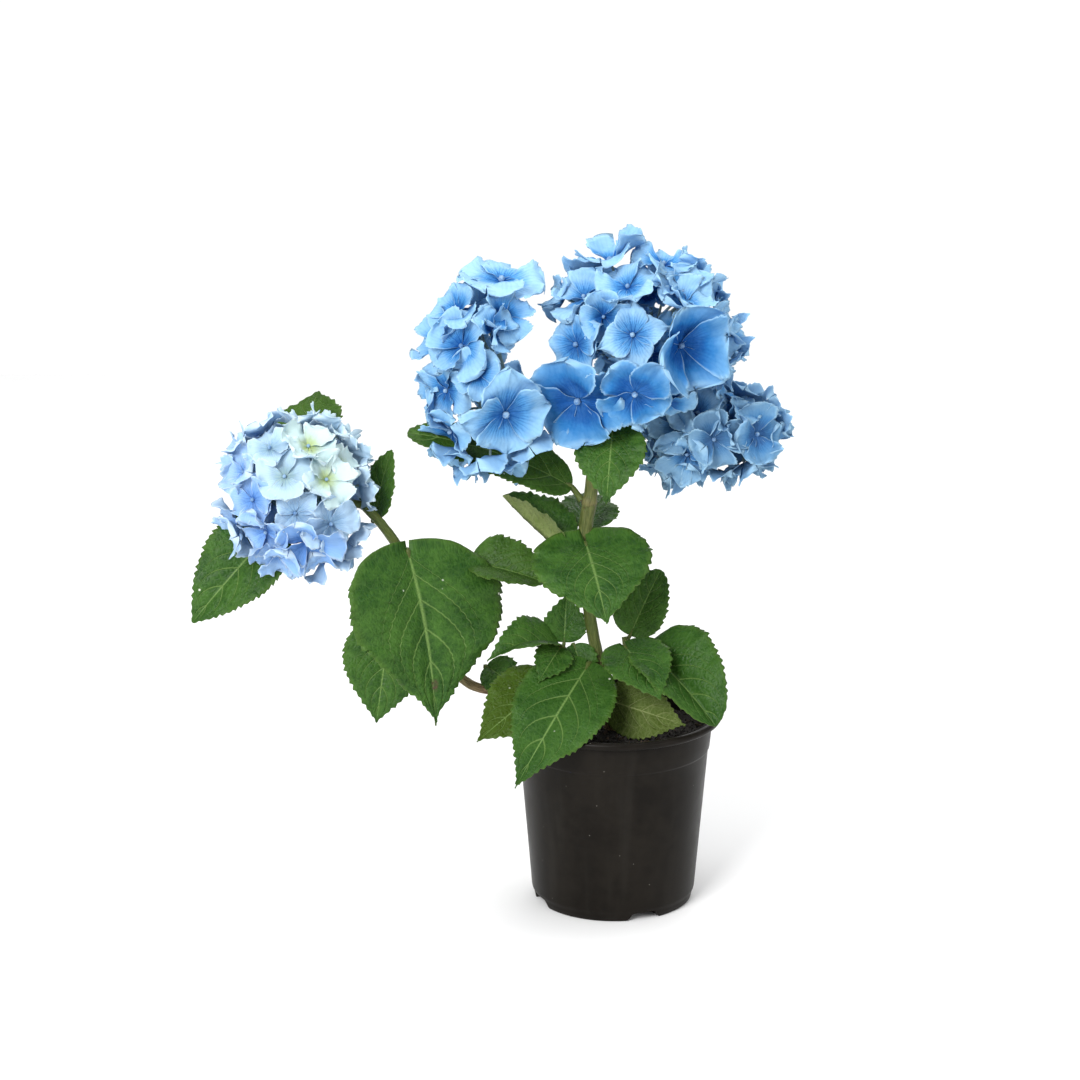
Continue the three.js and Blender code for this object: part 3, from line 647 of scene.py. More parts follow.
# levels and radii in mm, with firstNotch and drainApart in degrees.
pot = {
    "lipDrop": 5.5, "lipRound": (2.6, 2.75), "collarTop": 69.2, "collarFoot": 67.5, "step": 112,
    "bodyTop": 66.6, "foot": 7, "bodyFoot": 57.8, "wall": 1.5, "floor": 2, "ringOuter": 55.5,
    "ringInner": 49.5, "pad": 22, "channel": 5, "turns": 160, "notches": 4, "firstNotch": 22,
    "notchWidth": 18, "notchDepth": 5.6, "drain": 4.5, "drainAt": 41, "drainApart": 45,
}


def potProfile():
    # half of the pot's section: from the middle of its foot, up the outside, over the lip and down the inside
    low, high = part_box("pot")
    height = (high.z - low.z) / mm
    lip = (high.x - low.x) / 2 / mm
    lipLow = height - pot["lipDrop"]
    pad, channel, foot, step = pot["pad"], pot["channel"], pot["foot"], pot["step"]
    ringIn, ringOut, bodyFoot, bodyTop = pot["ringInner"], pot["ringOuter"], pot["bodyFoot"], pot["bodyTop"]
    collarFoot, collarTop, wall = pot["collarFoot"], pot["collarTop"], pot["wall"]
    section = [(0, 0), (pad, 0), (pad + 2, channel), (ringIn - 1.5, channel)]
    section += [(ringIn, 0.4), (ringIn + 0.6, 0), (ringOut - 0.6, 0), (ringOut, 0.5)]  # the foot ring
    section += [(ringOut + 0.8, foot - 3), (bodyFoot - 1.0, foot - 0.9)]
    section += [(bodyFoot - 0.3, foot + 0.2), (bodyFoot + 0.05, foot + 2.0)]  # a rounded corner
    slope = (bodyTop - bodyFoot) / (step - foot - 1.5)
    for level in (20, 40, 60, 80, 100, step - 0.8):
        section.append((bodyFoot + slope * (level - foot - 1.5), level))
    section += [(bodyTop + 0.15, step - 0.1), (collarFoot - 0.2, step + 0.5), (collarFoot + 0.05, step + 1.3)]
    section += [((collarFoot + collarTop) / 2, 121), (collarTop, lipLow - 0.5), (collarTop + 0.5, lipLow)]
    wide, tall = pot["lipRound"]
    for turn in range(-4, 9):
        angle = math.radians(turn * 22.5)
        section.append((lip - wide + wide * math.cos(angle), height - tall + tall * math.sin(angle)))
    section += [(collarTop - wall + 1.2, height - 1.4), (collarTop - wall, lipLow - 1)]
    floorTop = channel + pot["floor"]
    section += [(collarFoot - wall, step + 1), (bodyTop - wall, step - 1), (bodyFoot - wall, floorTop + 2)]
    section += [(bodyFoot - wall - 2, floorTop), (0, floorTop)]
    return section


def spun(profile, turns):
    points = []
    rows = []
    for radius, level in profile:
        if radius < 1e-6:
            rows.append([len(points)])
            points.append((0, 0, level * mm))
            continue
        rows.append(list(range(len(points), len(points) + turns)))
        for k in range(turns):
            angle = 2 * math.pi * k / turns
            points.append((radius * mm * math.cos(angle), radius * mm * math.sin(angle), level * mm))
    faces = []
    for low, high in zip(rows, rows[1:]):
        for k in range(turns):
            after = (k + 1) % turns
            if len(low) == 1:
                faces.append((low[0], high[after], high[k]))
            elif len(high) == 1:
                faces.append((low[k], low[after], high[0]))
            else:
                faces.append((low[k], low[after], high[after], high[k]))
    return points, faces


def cutAway(target, cutters):
    for cutter in cutters:
        modifier = target.modifiers.new("cut", "BOOLEAN")
        modifier.operation = "DIFFERENCE"
        modifier.solver = "EXACT"
        modifier.object = cutter
        graph = bpy.context.evaluated_depsgraph_get()
        mesh = bpy.data.meshes.new_from_object(target.evaluated_get(graph), depsgraph=graph)
        target.modifiers.remove(modifier)
        target.data = mesh
        remove(cutter)


def cutterAt(profile, distance, turn, stretch=1.0):
    # a turned solid moved out from the middle, to cut with
    points, faces = spun(profile, 32)
    across = Matrix.Diagonal((stretch, 1, 1))
    placed = [
        Matrix.Rotation(turn, 3, "Z") @ (across @ Vector(p) + Vector((distance * mm, 0, 0)))
        for p in points
    ]
    mesh = makeMesh("cutter", placed, faces, [])
    faceOutwards(mesh)
    return newObject("cutter", mesh)


def notchProfile():
    # the notch in the foot ring, wider where it opens so that its corners are round
    half = pot["notchWidth"] / 2 + 1.5
    deep = pot["notchDepth"]
    profile = [(0, -1), (half + 2.6, -1), (half + 1.6, 0.3), (half + 0.5, 1.6), (half - 0.5, 3.2)]
    profile += [(half - 1.2, deep - 0.9), (half - 2.4, deep - 0.15), (half - 3.6, deep), (0, deep)]
    return profile


def makePot():
    points, faces = spun(potProfile(), pot["turns"])
    mesh = makeMesh("pot_body", points, faces, [potPlastic])
    faceOutwards(mesh)
    piece = newObject("pot_body", mesh)
    drainTop = pot["channel"] + pot["floor"] + 5
    drain = [(0, 2), (pot["drain"], 2), (pot["drain"], drainTop), (0, drainTop)]
    cutters = []
    for k in range(pot["notches"]):
        turn = math.radians(pot["firstNotch"] + k * 360 / pot["notches"])
        cutters.append(cutterAt(notchProfile(), pot["ringOuter"] + 1, turn, 1.5))
        for apart in (0, math.radians(pot["drainApart"])):
            cutters.append(cutterAt(drain, pot["drainAt"], turn + apart))
    cutAway(piece, cutters)
    piece.data.shade_smooth()
    piece.data.set_sharp_from_angle(angle=math.radians(40))
    piece.data.name = "pot_body"
    return finishPiece(piece, "pot_plastic", "pot")


makePot()
print("pot made")

# potting soil

# lumps is the room kept above the sheet for what lies on it, and heap how far the sheet's middle is raised
soil = {"rings": 40, "turns": 110, "wall": 0.7, "clear": 0.2, "lumps": 4.3, "heap": 2.3, "seed": 4}
soilKinds = [
    {
        "name": "crumb", "density": 90000.0, "size": 1.0, "least": 0.45, "most": 1.25, "flat": 0.8,
        "finish": soilDark,
    },
    {
        "name": "chip", "density": 9000.0, "size": 1.8, "least": 0.6, "most": 1.5, "flat": 0.4,
        "finish": barkChip,
    },
    {
        "name": "grit", "density": 900.0, "size": 0.7, "least": 0.6, "most": 1.2, "flat": 0.9,
        "finish": perlite,
    },
]


def makeCrumb(name, size, seed, flat):
    # one rough lump of a few dozen faces
    work = bmesh.new()
    bmesh.ops.create_icosphere(work, subdivisions=1, radius=size)
    picker = random.Random(seed)
    for vertex in work.verts:
        vertex.co *= 0.7 + 0.5 * picker.random()
        vertex.co.z *= flat
        vertex.co.x *= 1.3
    mesh = bpy.data.meshes.new(name)
    work.to_mesh(mesh)
    work.free()
    return newObject(name, mesh)


def scatterTree():
    tree, given, result = nodeGroup(
        "scatter",
        "GeometryNodeTree",
        [
            ("Geometry", "Geometry", None), ("Density", "Float", 1000), ("Shapes", "Collection", None),
            ("Smallest", "Float", 0.5), ("Largest", "Float", 1.0), ("Seed", "Int", 0),
            ("Finish", "Material", None),
        ],
        [("Geometry", "Geometry")],
    )
    points = addNode(
        tree,
        "GeometryNodeDistributePointsOnFaces",
        {"Mesh": given["Geometry"], "Density": given["Density"], "Seed": given["Seed"]},
    )
    shapes = addNode(
        tree,
        "GeometryNodeCollectionInfo",
        {"Collection": given["Shapes"], "Separate Children": True, "Reset Children": True},
    )
    turn = addNode(
        tree, "FunctionNodeRandomValue", {"Max": (6.28, 6.28, 6.28), "Seed": given["Seed"]},
        data_type="FLOAT_VECTOR",
    )
    size = addNode(
        tree,
        "FunctionNodeRandomValue",
        {"Min": given["Smallest"], "Max": given["Largest"], "Seed": given["Seed"]},
        data_type="FLOAT",
    )
    placed = addNode(
        tree, "GeometryNodeInstanceOnPoints",
        {"Points": points.outputs["Points"], "Instance": shapes.outputs[0], "Pick Instance": True,
         "Rotation": turn.outputs[0], "Scale": socketOf(size.outputs, "Value")},
    )
    real = addNode(tree, "GeometryNodeRealizeInstances", {"Geometry": placed.outputs[0]})
    done = addNode(
        tree, "GeometryNodeSetMaterial", {"Geometry": real.outputs[0], "Material": given["Finish"]}
    )
    tree.links.new(done.outputs[0], result["Geometry"])
    return tree


def soilHeight(x, y, top):
    waves = 1.1 * math.sin(x * 0.21 + 1) * math.cos(y * 0.26)
    waves += 0.5 * math.sin(x * 0.9 + y * 0.5) * math.cos(y * 0.8)
    return top + waves * mm


def soilSurface(low, high):
    # a round, slightly heaped sheet that the lumps are scattered on
    radius = (high.x - low.x) / 2 - soil["clear"] * mm
    turns = soil["turns"]
    points = []
    for i in range(soil["rings"] + 1):
        share = i / soil["rings"]
        level = high.z - (soil["lumps"] - soil["heap"] * (1 - share)) * mm
        for k in range(turns):
            angle = 2 * math.pi * k / turns
            x, y = radius * share * math.cos(angle), radius * share * math.sin(angle)
            points.append((x, y, soilHeight(x / mm, y / mm, level)))
    faces = []
    for i in range(soil["rings"]):
        for k in range(turns):
            after = (k + 1) % turns
            faces.append((i * turns + k, (i + 1) * turns + k, (i + 1) * turns + after, i * turns + after))
    surface = makeMesh("surface", points, faces, [soilDark])
    work = bmesh.new()
    work.from_mesh(surface)
    bmesh.ops.remove_doubles(work, verts=work.verts, dist=1e-6)
    work.to_mesh(surface)
    work.free()
    return surface


def soilBody(low, high):
    # the soil under the sheet, down to the pot's floor and clear of its wall
    wall = pot["wall"] + soil["wall"]
    floorLevel = low.z / mm
    topLevel = high.z / mm - soil["lumps"] - 1
    depth = [
        (0, floorLevel), (pot["bodyFoot"] - wall - 3, floorLevel),
        (pot["bodyFoot"] - wall, floorLevel + 5),
    ]
    depth += [
        (pot["bodyTop"] - wall, pot["step"] - 3), (pot["collarFoot"] - wall, pot["step"] + 4),
        (0, topLevel),
    ]
    points, faces = spun(depth, soil["turns"])
    return makeMesh("body", points, faces, [])


def soilLumps(skin, tree, number, lump):
    shapes = bpy.data.collections.new(lump["name"])
    forms = [
        makeCrumb(f"{lump['name']}{k}", lump["size"] * mm, 10 * number + k, lump["flat"])
        for k in range(4)
    ]
    for form in forms:
        scene.collection.objects.unlink(form)
        shapes.objects.link(form)
    inputs = {
        "Density": lump["density"], "Shapes": shapes, "Smallest": lump["least"], "Largest": lump["most"]
    }
    inputs.update({"Seed": soil["seed"] + number, "Finish": lump["finish"]})
    mesh = growWith(skin, tree, inputs, lump["name"])
    for form in forms:
        remove(form)
    return mesh


def makeSoil():
    low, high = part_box("potting_soil")
    surface = soilSurface(low, high)
    skin = newObject("surface", surface)
    tree = scatterTree()
    joined = bmesh.new()
    for number, lump in enumerate(soilKinds):
        before = len(joined.faces)
        joined.from_mesh(soilLumps(skin, tree, number, lump))
        joined.faces.ensure_lookup_table()
        for face in joined.faces[before:]:
            face.material_index = number + 1
    joined.from_mesh(soilBody(low, high))
    joined.from_mesh(surface)
    mesh = bpy.data.meshes.new("potting_mix")
    joined.to_mesh(mesh)
    joined.free()
    for finish in (soilDark, *[lump["finish"] for lump in soilKinds]):
        mesh.materials.append(finish)
    remove(skin)
    return finishPiece(newObject("potting_mix", mesh), "soil", "potting_soil")


makeSoil()
print("soil made")


# stems

def tubeTree():
    # a round stem along a line of points, each with its own thickness
    tree, given, result = nodeGroup(
        "tube", "GeometryNodeTree",
        [("Geometry", "Geometry", None), ("Spacing", "Float", 0.001), ("Sides", "Int", 16),
         ("Lumps", "Float", 0.0), ("Lump Size", "Float", 150.0), ("Finish", "Material", None)],
        [("Geometry", "Geometry")],
    )
    line = addNode(tree, "GeometryNodeMeshToCurve", {"Mesh": given["Geometry"]})
    smooth = addNode(
        tree, "GeometryNodeCurveSplineType", {"Curve": line.outputs[0]}, spline_type="CATMULL_ROM"
    )
    fine = addNode(
        tree, "GeometryNodeResampleCurve", {"Curve": smooth.outputs[0], "Length": given["Spacing"]},
        mode="LENGTH",
    )
    thick = addNode(tree, "GeometryNodeInputNamedAttribute", {"Name": "thick"}, data_type="FLOAT")
    thickness = socketOf(thick.outputs, "Attribute")
    sized = addNode(tree, "GeometryNodeSetCurveRadius", {"Curve": fine.outputs[0], "Radius": thickness})
    place = addNode(tree, "GeometryNodeSplineParameter")
    marked = addNode(
        tree, "GeometryNodeStoreNamedAttribute",
        {"Geometry": sized.outputs[0], "Name": "along", "Value": place.outputs["Length"]},
        data_type="FLOAT", domain="POINT",
    )
    circle = addNode(tree, "GeometryNodeCurvePrimitiveCircle", {"Resolution": given["Sides"], "Radius": 1.0})
    turn = addNode(tree, "GeometryNodeSplineParameter")
    section = addNode(
        tree, "GeometryNodeStoreNamedAttribute",
        {"Geometry": circle.outputs[0], "Name": "around", "Value": turn.outputs["Factor"]},
        data_type="FLOAT", domain="POINT",
    )
    tube = addNode(
        tree,
        "GeometryNodeCurveToMesh",
        {
            "Curve": marked.outputs[0], "Profile Curve": section.outputs[0], "Fill Caps": True,
            "Scale": thickness,
        },
    )
    spot = addNode(tree, "GeometryNodeInputPosition")
    rough = noise(tree, spot.outputs[0], given["Lump Size"], 2)
    lift = times(tree, minus(tree, rough, 0.5), given["Lumps"])
    normal = addNode(tree, "GeometryNodeInputNormal")
    push = addNode(tree, "ShaderNodeVectorMath", {0: normal.outputs[0], 3: lift}, operation="SCALE")
    lumpy = addNode(tree, "GeometryNodeSetPosition", {"Geometry": tube.outputs[0], "Offset": push.outputs[0]})
    real = addNode(tree, "GeometryNodeRealizeInstances", {"Geometry": lumpy.outputs[0]})
    soft = addNode(tree, "GeometryNodeSetShadeSmooth", {"Geometry": real.outputs[0]})
    done = addNode(
        tree, "GeometryNodeSetMaterial", {"Geometry": soft.outputs[0], "Material": given["Finish"]}
    )
    tree.links.new(done.outputs[0], result["Geometry"])
    return tree


tubes = tubeTree()


def tubeMesh(name, paths, finish, sides=16, spacing=1.0, lumps=0.0, lumpSize=150.0):
    # each path is a list of (x, y, z, radius, woodiness), in mm
    points = []
    edges = []
    for path in paths:
        edges += [(len(points) + k, len(points) + k + 1) for k in range(len(path) - 1)]
        points += path
    mesh = bpy.data.meshes.new(name)
    mesh.from_pydata([(p[0] * mm, p[1] * mm, p[2] * mm) for p in points], edges, [])
    addFloats(mesh, "thick", [p[3] * mm for p in points])
    addFloats(mesh, "wood", [p[4] for p in points])
    source = newObject(name, mesh)
    inputs = {
        "Spacing": spacing * mm, "Sides": sides, "Lumps": lumps * mm, "Lump Size": lumpSize,
        "Finish": finish,
    }
    made = growWith(source, tubes, inputs, name)
    remove(source)
    return made


# points along the middle of each stem with the radius there, and how woody it is
stems = {
    "main_stem": {
        "slot": "green_stem", "lumps": 1.0, "lumpSize": 130,
        "path": [
            (0, 0, 101, 6, 1), (0, 0, 124, 7, 1), (-3, 0, 140, 7, 1), (-5, 0, 152, 7.2, 0.9),
            (-8, 0, 162, 6.2, 0.4), (-12, 0, 178, 4.6, 0.1), (-16, -1, 200, 4.2, 0),
            (-19, -1.6, 220, 4.2, 0), (-21, -2, 240, 4.5, 0.0), (-21.3, -2, 262, 4.9, 0.1),
            (-20, -1, 276, 4.9, 0.1), (-18, 0, 288, 5.2, 0.1),
        ],
    },
    "left_branch": {
        "slot": "bark", "lumps": 0.9, "lumpSize": 160,
        "path": [
            (-11, 1, 146, 4, 1), (-40, 6, 147, 3.8, 1), (-84, 8, 149, 3.4, 1),
            (-104, 7, 156, 3.4, 0.6), (-121, 3, 176, 3.4, 0.2), (-134, 1, 206, 3.4, 0),
            (-143, 0, 235, 3.5, 0), (-150, 0, 255, 3.6, 0), (-161, 0, 272, 3.4, 0),
            (-173, -1, 286, 3.2, 0),
        ],
    },
    "shoot_left": {
        "slot": "green_stem", "lumps": 0.5, "lumpSize": 200,
        "path": [
            (-13, -6, 156, 2.6, 0.8), (-22, -8, 164, 2.6, 0.4), (-31, -6, 174, 2.5, 0),
            (-36, -4, 184, 2.2, 0),
        ],
    },
    "shoot_right": {
        "slot": "green_stem", "lumps": 0.5, "lumpSize": 200,
        "path": [
            (0, -3, 164, 2.6, 0.6), (6, -4, 172, 2.6, 0.2), (8, -2, 182, 2.3, 0),
            (7, 1, 191, 1.9, 0),
        ],
    },
}


def moveToNode(mesh, *nodes):
    count = len(mesh.vertices)
    points = np.zeros(count * 3, np.float32)
    mesh.vertices.foreach_get("co", points)
    points = points.reshape(-1, 3)
    points += (nodeCentre(*nodes) - boxCentre(points)).astype(np.float32)
    mesh.vertices.foreach_set("co", points.ravel())
    mesh.update()


for name, stem in stems.items():
    made = tubeMesh(name + "_skin", [stem["path"]], stemGreen, 24, 1.2, stem["lumps"], stem["lumpSize"])
    moveToNode(made, name)
    finishPiece(newObject(name + "_skin", made), stem["slot"], name)
print("stems made")

# leaves

# toothPitch and tooth are the step and depth of the saw edge, and thick, midrib and sideRib the thickness of
# the blade and its ribs, all in mm. ripple is how wavy the rim is, beside the width. spot and spotWide are
# the size and the stretch of a scar.
blade = {
    "rowsPerMm": 1.4, "fewestRows": 60, "columns": 31, "toothPitch": 4.3, "tooth": 2.2,
    "thick": 0.45, "midrib": 0.9, "sideRib": 0.35, "pairs": 6, "spot": 0.05, "spotWide": 0.4, "ripple": 0.018,
}

# stalk is the blade's base less the place where its stalk leaves the stem. heading, pitch, roll, arch and
# fold turn and bend the blade, in degrees. lobes is how far its base reaches back and blunt how round its tip
# is. tone below 0 darkens the green towards a painted shade, and above 0 turns it olive. spot is the place of
# a brown scar.
leaves = {
    "side_head_back": {
        "stalk": (-36, 18, 30), "heading": 78, "pitch": 32, "length": 48, "width": 54,
        "roll": -14, "arch": 20, "fold": 6, "tone": 0.35,
    },
    "side_head_left": {
        "stalk": (-51, 11, -12), "heading": -161, "pitch": -46, "length": 90, "width": 60,
        "roll": -50, "arch": 16, "fold": 18, "blunt": 0.4, "tone": -0.1,
    },
    "side_head_right": {
        "stalk": (1, 5, 2), "heading": 40, "pitch": 71, "length": 48, "width": 36,
        "roll": 2, "arch": 14, "fold": 14, "blunt": 0.5, "tone": 0.2,
    },
    "left_branch_large": {
        "stalk": (4, -12, 9), "heading": -60, "pitch": -72, "length": 122, "width": 126,
        "roll": -5, "arch": 26, "fold": 10, "lobes": 0.07, "blunt": -0.3, "spot": (0.77, 0.05),
    },
    "left_branch_inner": {
        "stalk": (46, 2, -3), "heading": -14, "pitch": -12, "length": 54, "width": 48,
        "roll": 28, "arch": 14, "fold": 36, "blunt": 0.9, "tone": 0.3,
    },
    "left_branch_rear": {
        "stalk": (-18, 13, -30), "heading": -124, "pitch": -76, "length": 72, "width": 60,
        "roll": -35, "arch": 14, "fold": 5, "blunt": 0.15,
    },
    "mid_front": {
        "stalk": (1, -6, 2), "heading": -75, "pitch": -38, "length": 69, "width": 84,
        "roll": 8, "arch": 30, "fold": 5, "lobes": 0.18, "tone": -0.1,
    },
    "upper_left_folded": {
        "stalk": (-12, 1, 0), "heading": 158, "pitch": 38, "length": 58, "width": 52,
        "roll": -2, "arch": -10, "fold": 78, "blunt": 0.6, "tone": 0.0,
    },
    "upper_right_rear": {
        "stalk": (-2, 5, 0), "heading": 84, "pitch": 13, "length": 54, "width": 42,
        "roll": 8, "arch": 20, "fold": 16,
    },
    "under_left_head": {
        "stalk": (-9, 1, 11), "heading": -178, "pitch": 19, "length": 120, "width": 40,
        "roll": -42, "arch": 40, "fold": 8, "blunt": 0.8, "tone": 0.3,
    },
    "under_crown_front": {
        "stalk": (7, -11, 12), "heading": -98, "pitch": -52, "length": 57, "width": 50,
        "roll": 0, "arch": 20, "fold": 12, "lobes": 0.06,
    },
    "right_upright": {
        "stalk": (4, 4, 5), "heading": 44, "pitch": 54, "length": 50, "width": 38,
        "roll": 30, "arch": 16, "fold": 14, "lobes": 0.04, "blunt": 0.7, "tone": 0.1,
    },
    "right_small": {
        "stalk": (-1, -11, 8), "heading": -62, "pitch": -26, "length": 55, "width": 49,
        "roll": 12, "arch": 26, "fold": 8, "lobes": 0.1, "blunt": 0.15, "tone": -0.35,
    },
    "right_large": {
        "stalk": (11, 1, 5), "heading": -47, "pitch": -30, "length": 80, "width": 74,
        "roll": 20, "arch": 26, "fold": 52, "lobes": 0.03, "blunt": 0.8, "tone": -0.55,
    },
    "front_large": {
        "stalk": (-10, -8, 9), "heading": -122, "pitch": -33, "length": 114, "width": 68,
        "roll": -20, "arch": 16, "fold": 8, "lobes": 0.03, "tone": -0.45,
    },
    "front_left_rear": {
        "stalk": (-28, -9, 15), "heading": -144, "pitch": -26, "length": 74, "width": 56,
        "roll": -30, "arch": 12, "fold": 6, "tone": 1.0,
    },
    "over_soil": {
        "stalk": (-8, -3, 5), "heading": -38, "pitch": -4, "length": 68, "width": 42,
        "roll": -110, "arch": 10, "fold": 4, "tone": 0.9,
    },
    "shoot_left": {
        "stalk": (-3, 1, 4), "heading": -152, "pitch": -3, "length": 60, "width": 40,
        "roll": -20, "arch": 75, "fold": 42,
    },
    "shoot_upright": {
        "stalk": (1, 4, 6), "heading": 80, "pitch": 72, "length": 34, "width": 32,
        "roll": 9, "arch": 16, "fold": 24,
    },
    "shoot_small": {
        "stalk": (-2, -3, 6), "heading": -119, "pitch": -28, "length": 36, "width": 27,
        "roll": -25, "arch": 30, "fold": 12,
    },
    "shoot_dark": {
        "stalk": (4, 1, 9), "heading": -53, "pitch": -60, "length": 32, "width": 26,
        "roll": 30, "arch": 14, "fold": 10,
    },
    "low_left_dark": {
        "stalk": (-4, 4, 14), "heading": -28, "pitch": -26, "length": 32, "width": 30,
        "roll": 40, "arch": 14, "fold": 10,
    },
}
oliveLeaves = ("front_left_rear", "over_soil")


def leafTurn(leaf):
    heading = Matrix.Rotation(math.radians(leaf["heading"]), 3, "Z")
    pitch = Matrix.Rotation(math.radians(-leaf["pitch"]), 3, "Y")
    return heading @ pitch @ Matrix.Rotation(math.radians(leaf["roll"]), 3, "X")


def bladePoints(leaf, rows, seed):
    # upper sheet and lower sheet of the blade in its own frame, with the maps that its finish reads
    t = np.linspace(0, 1, rows)[:, None] ** 1.25  # from the base to the tip
    s = np.linspace(-1, 1, blade["columns"])[None, :]  # from edge to edge
    s = np.sign(s) * np.abs(s) ** 0.85
    out = np.abs(s)
    # the midrib is an arc
    length, arch = leaf["length"], math.radians(leaf["arch"])
    x = length * (np.sin(arch / 2) - np.sin(arch * (0.5 - t))) / arch
    z = length * (np.cos(arch * (0.5 - t)) - np.cos(arch / 2)) / arch
    # outline and saw teeth
    outline = np.sin(np.pi * np.clip(t, 0, 1) ** 0.64).clip(0) ** (0.62 + (0.62 - leaf.get("blunt", 0)) * t)
    half = np.maximum(leaf["width"] / 2 * outline, 0.5 + 1.2 * (1 - t))
    saw = (t * length / blade["toothPitch"]) % 1.0
    bite = np.where(saw < 0.7, saw / 0.7, (1 - saw) / 0.3) ** 0.8 - 0.5
    rimmed = np.clip((out - 0.86) / 0.14, 0, 1)
    tooth = blade["tooth"] * bite * rimmed * np.sin(np.pi * t).clip(0) ** 0.3 * (0.8 + 0.4 * np.sin(t * 40))
    across = half * out + tooth
    back = leaf.get("lobes", 0.02) * length * s * s * (1 - t) ** 2
    lift = math.radians(leaf["fold"]) * (1 - 0.3 * out)
    # raised side veins, with the blade puffed up between them
    ratio = leaf["width"] / length
    start = t - 0.48 * ratio * out / (1.05 - out) ** 0.5 * (1 - 0.35 * t)
    phase = ((np.clip(start, 0, 1) ** 0.8 + 0.06) * blade["pairs"]) % 1.0
    vein = np.exp(-(((phase - 0.5) / 0.11) ** 2)) * (start > 0) * np.clip((0.93 - out) / 0.3, 0, 1)
    swell = np.sin(np.pi * np.clip(out, 0, 1)) ** 0.6 * np.sin(np.pi * t) ** 0.5
    puff = 0.016 * leaf["width"] * (1 - vein) * swell
    groove = -0.5 * np.exp(-((out / 0.05) ** 2)) * (1 - t)
    # waves along the rim
    phases = np.random.default_rng(seed).uniform(0, 2 * np.pi, 4)
    ripple = blade["ripple"] * leaf["width"]
    slow = np.sin(2 * np.pi * 3.1 * t + phases[0] + (s > 0) * phases[1]) * np.sin(np.pi * t)
    quick = np.sin(2 * np.pi * 7.3 * t + phases[2] + (s > 0) * phases[3])
    wave = ripple * (out**2 * slow + 0.5 * out**3 * quick)
    top = z + across * np.sin(lift) + wave + puff + groove
    px = x - back + 0.6 * tooth + 0 * s
    py = np.sign(s) * across * np.cos(lift)
    rib = blade["midrib"] * np.exp(-((out / 0.06) ** 2)) * (1 - 0.75 * t) * (leaf["length"] / 80)
    low = top - blade["thick"] * (1 - 0.5 * rimmed) - rib - blade["sideRib"] * vein * (1 - out * 0.6)
    upper = np.stack([px, py, top], -1).reshape(-1, 3)
    lower = np.stack([px, py, low], -1).reshape(-1, 3)
    blades = np.stack([t + 0 * s, 0.5 + s / 2 + 0 * t], -1).reshape(-1, 2)
    flats = np.stack([(x + 0 * s) * mm, py * mm], -1).reshape(-1, 2)
    return np.concatenate([upper, lower]), np.concatenate([blades, blades]), np.concatenate([flats, flats])


def stalkMesh(leaf, name):
    turn = np.array(leafTurn(leaf))
    start = -np.array(leaf["stalk"], float)
    under = turn @ np.array([0, 0, -0.9])
    along = turn @ np.array([1.0, 0, 0])
    gap = np.linalg.norm(start)
    thick = 1.1 + leaf["length"] / 110
    stops = [
        start, 0.55 * start + under - 0.12 * gap * along, under - 0.12 * gap * along, under + 3 * along,
        under + 9 * along,
    ]
    radii = [thick * 1.25, thick, thick * 0.92, thick * 0.7, thick * 0.35]
    path = [(*p, r, 0.0) for p, r in zip(stops, radii)]
    return tubeMesh(name, [path], stemGreen, 12, 1.0, 0.15, 300.0)


def makeLeaf(name, leaf, seed):
    rows = max(blade["fewestRows"], round(leaf["length"] * blade["rowsPerMm"]))
    points, blades, flats = bladePoints(leaf, rows, seed)
    points = points @ np.array(leafTurn(leaf)).T
    mesh = makeMesh("blade", points * mm, sheetFaces(rows, blade["columns"]), [bladeGreen])
    addMap(mesh, "blade", blades)
    addMap(mesh, "flat", flats)
    half = len(points) // 2
    addFloats(mesh, "under", [0.0] * half + [1.0] * half)
    addFloats(mesh, "tone", [leaf.get("tone", 0.0)] * len(points))
    addFloats(mesh, "ratio", [leaf["width"] / leaf["length"]] * len(points))
    spot = leaf.get("spot", (9, 0))
    away = np.hypot(blades[:, 0] - spot[0], (2 * blades[:, 1] - 1 - spot[1]) * blade["spotWide"])
    addFloats(mesh, "spot", np.clip(1 - away / blade["spot"], 0, 1))
    faceOutwards(mesh)
    work = newObject("blade", mesh)
    stalk = newObject("stalk", stalkMesh(leaf, "stalk"))
    with bpy.context.temp_override(active_object=work, selected_editable_objects=[work, stalk]):
        bpy.ops.object.join()
    work.name = "leaf_" + name + "_blade"
    work.data.name = work.name
    moveToNode(work.data, "leaf_" + name)
    return finishPiece(work, "leaf_olive" if name in oliveLeaves else "leaf", "leaf_" + name)


for number, (name, leaf) in enumerate(leaves.items()):
    makeLeaf(name, leaf, 100 + number)
print("leaves made")

# florets

# thick, wide and long are measured in floret widths, and belly says how soon a sepal widens.
sepal = {"rows": 30, "columns": 17, "thick": 0.009, "wide": 0.300, "long": 0.5, "belly": 0.95}

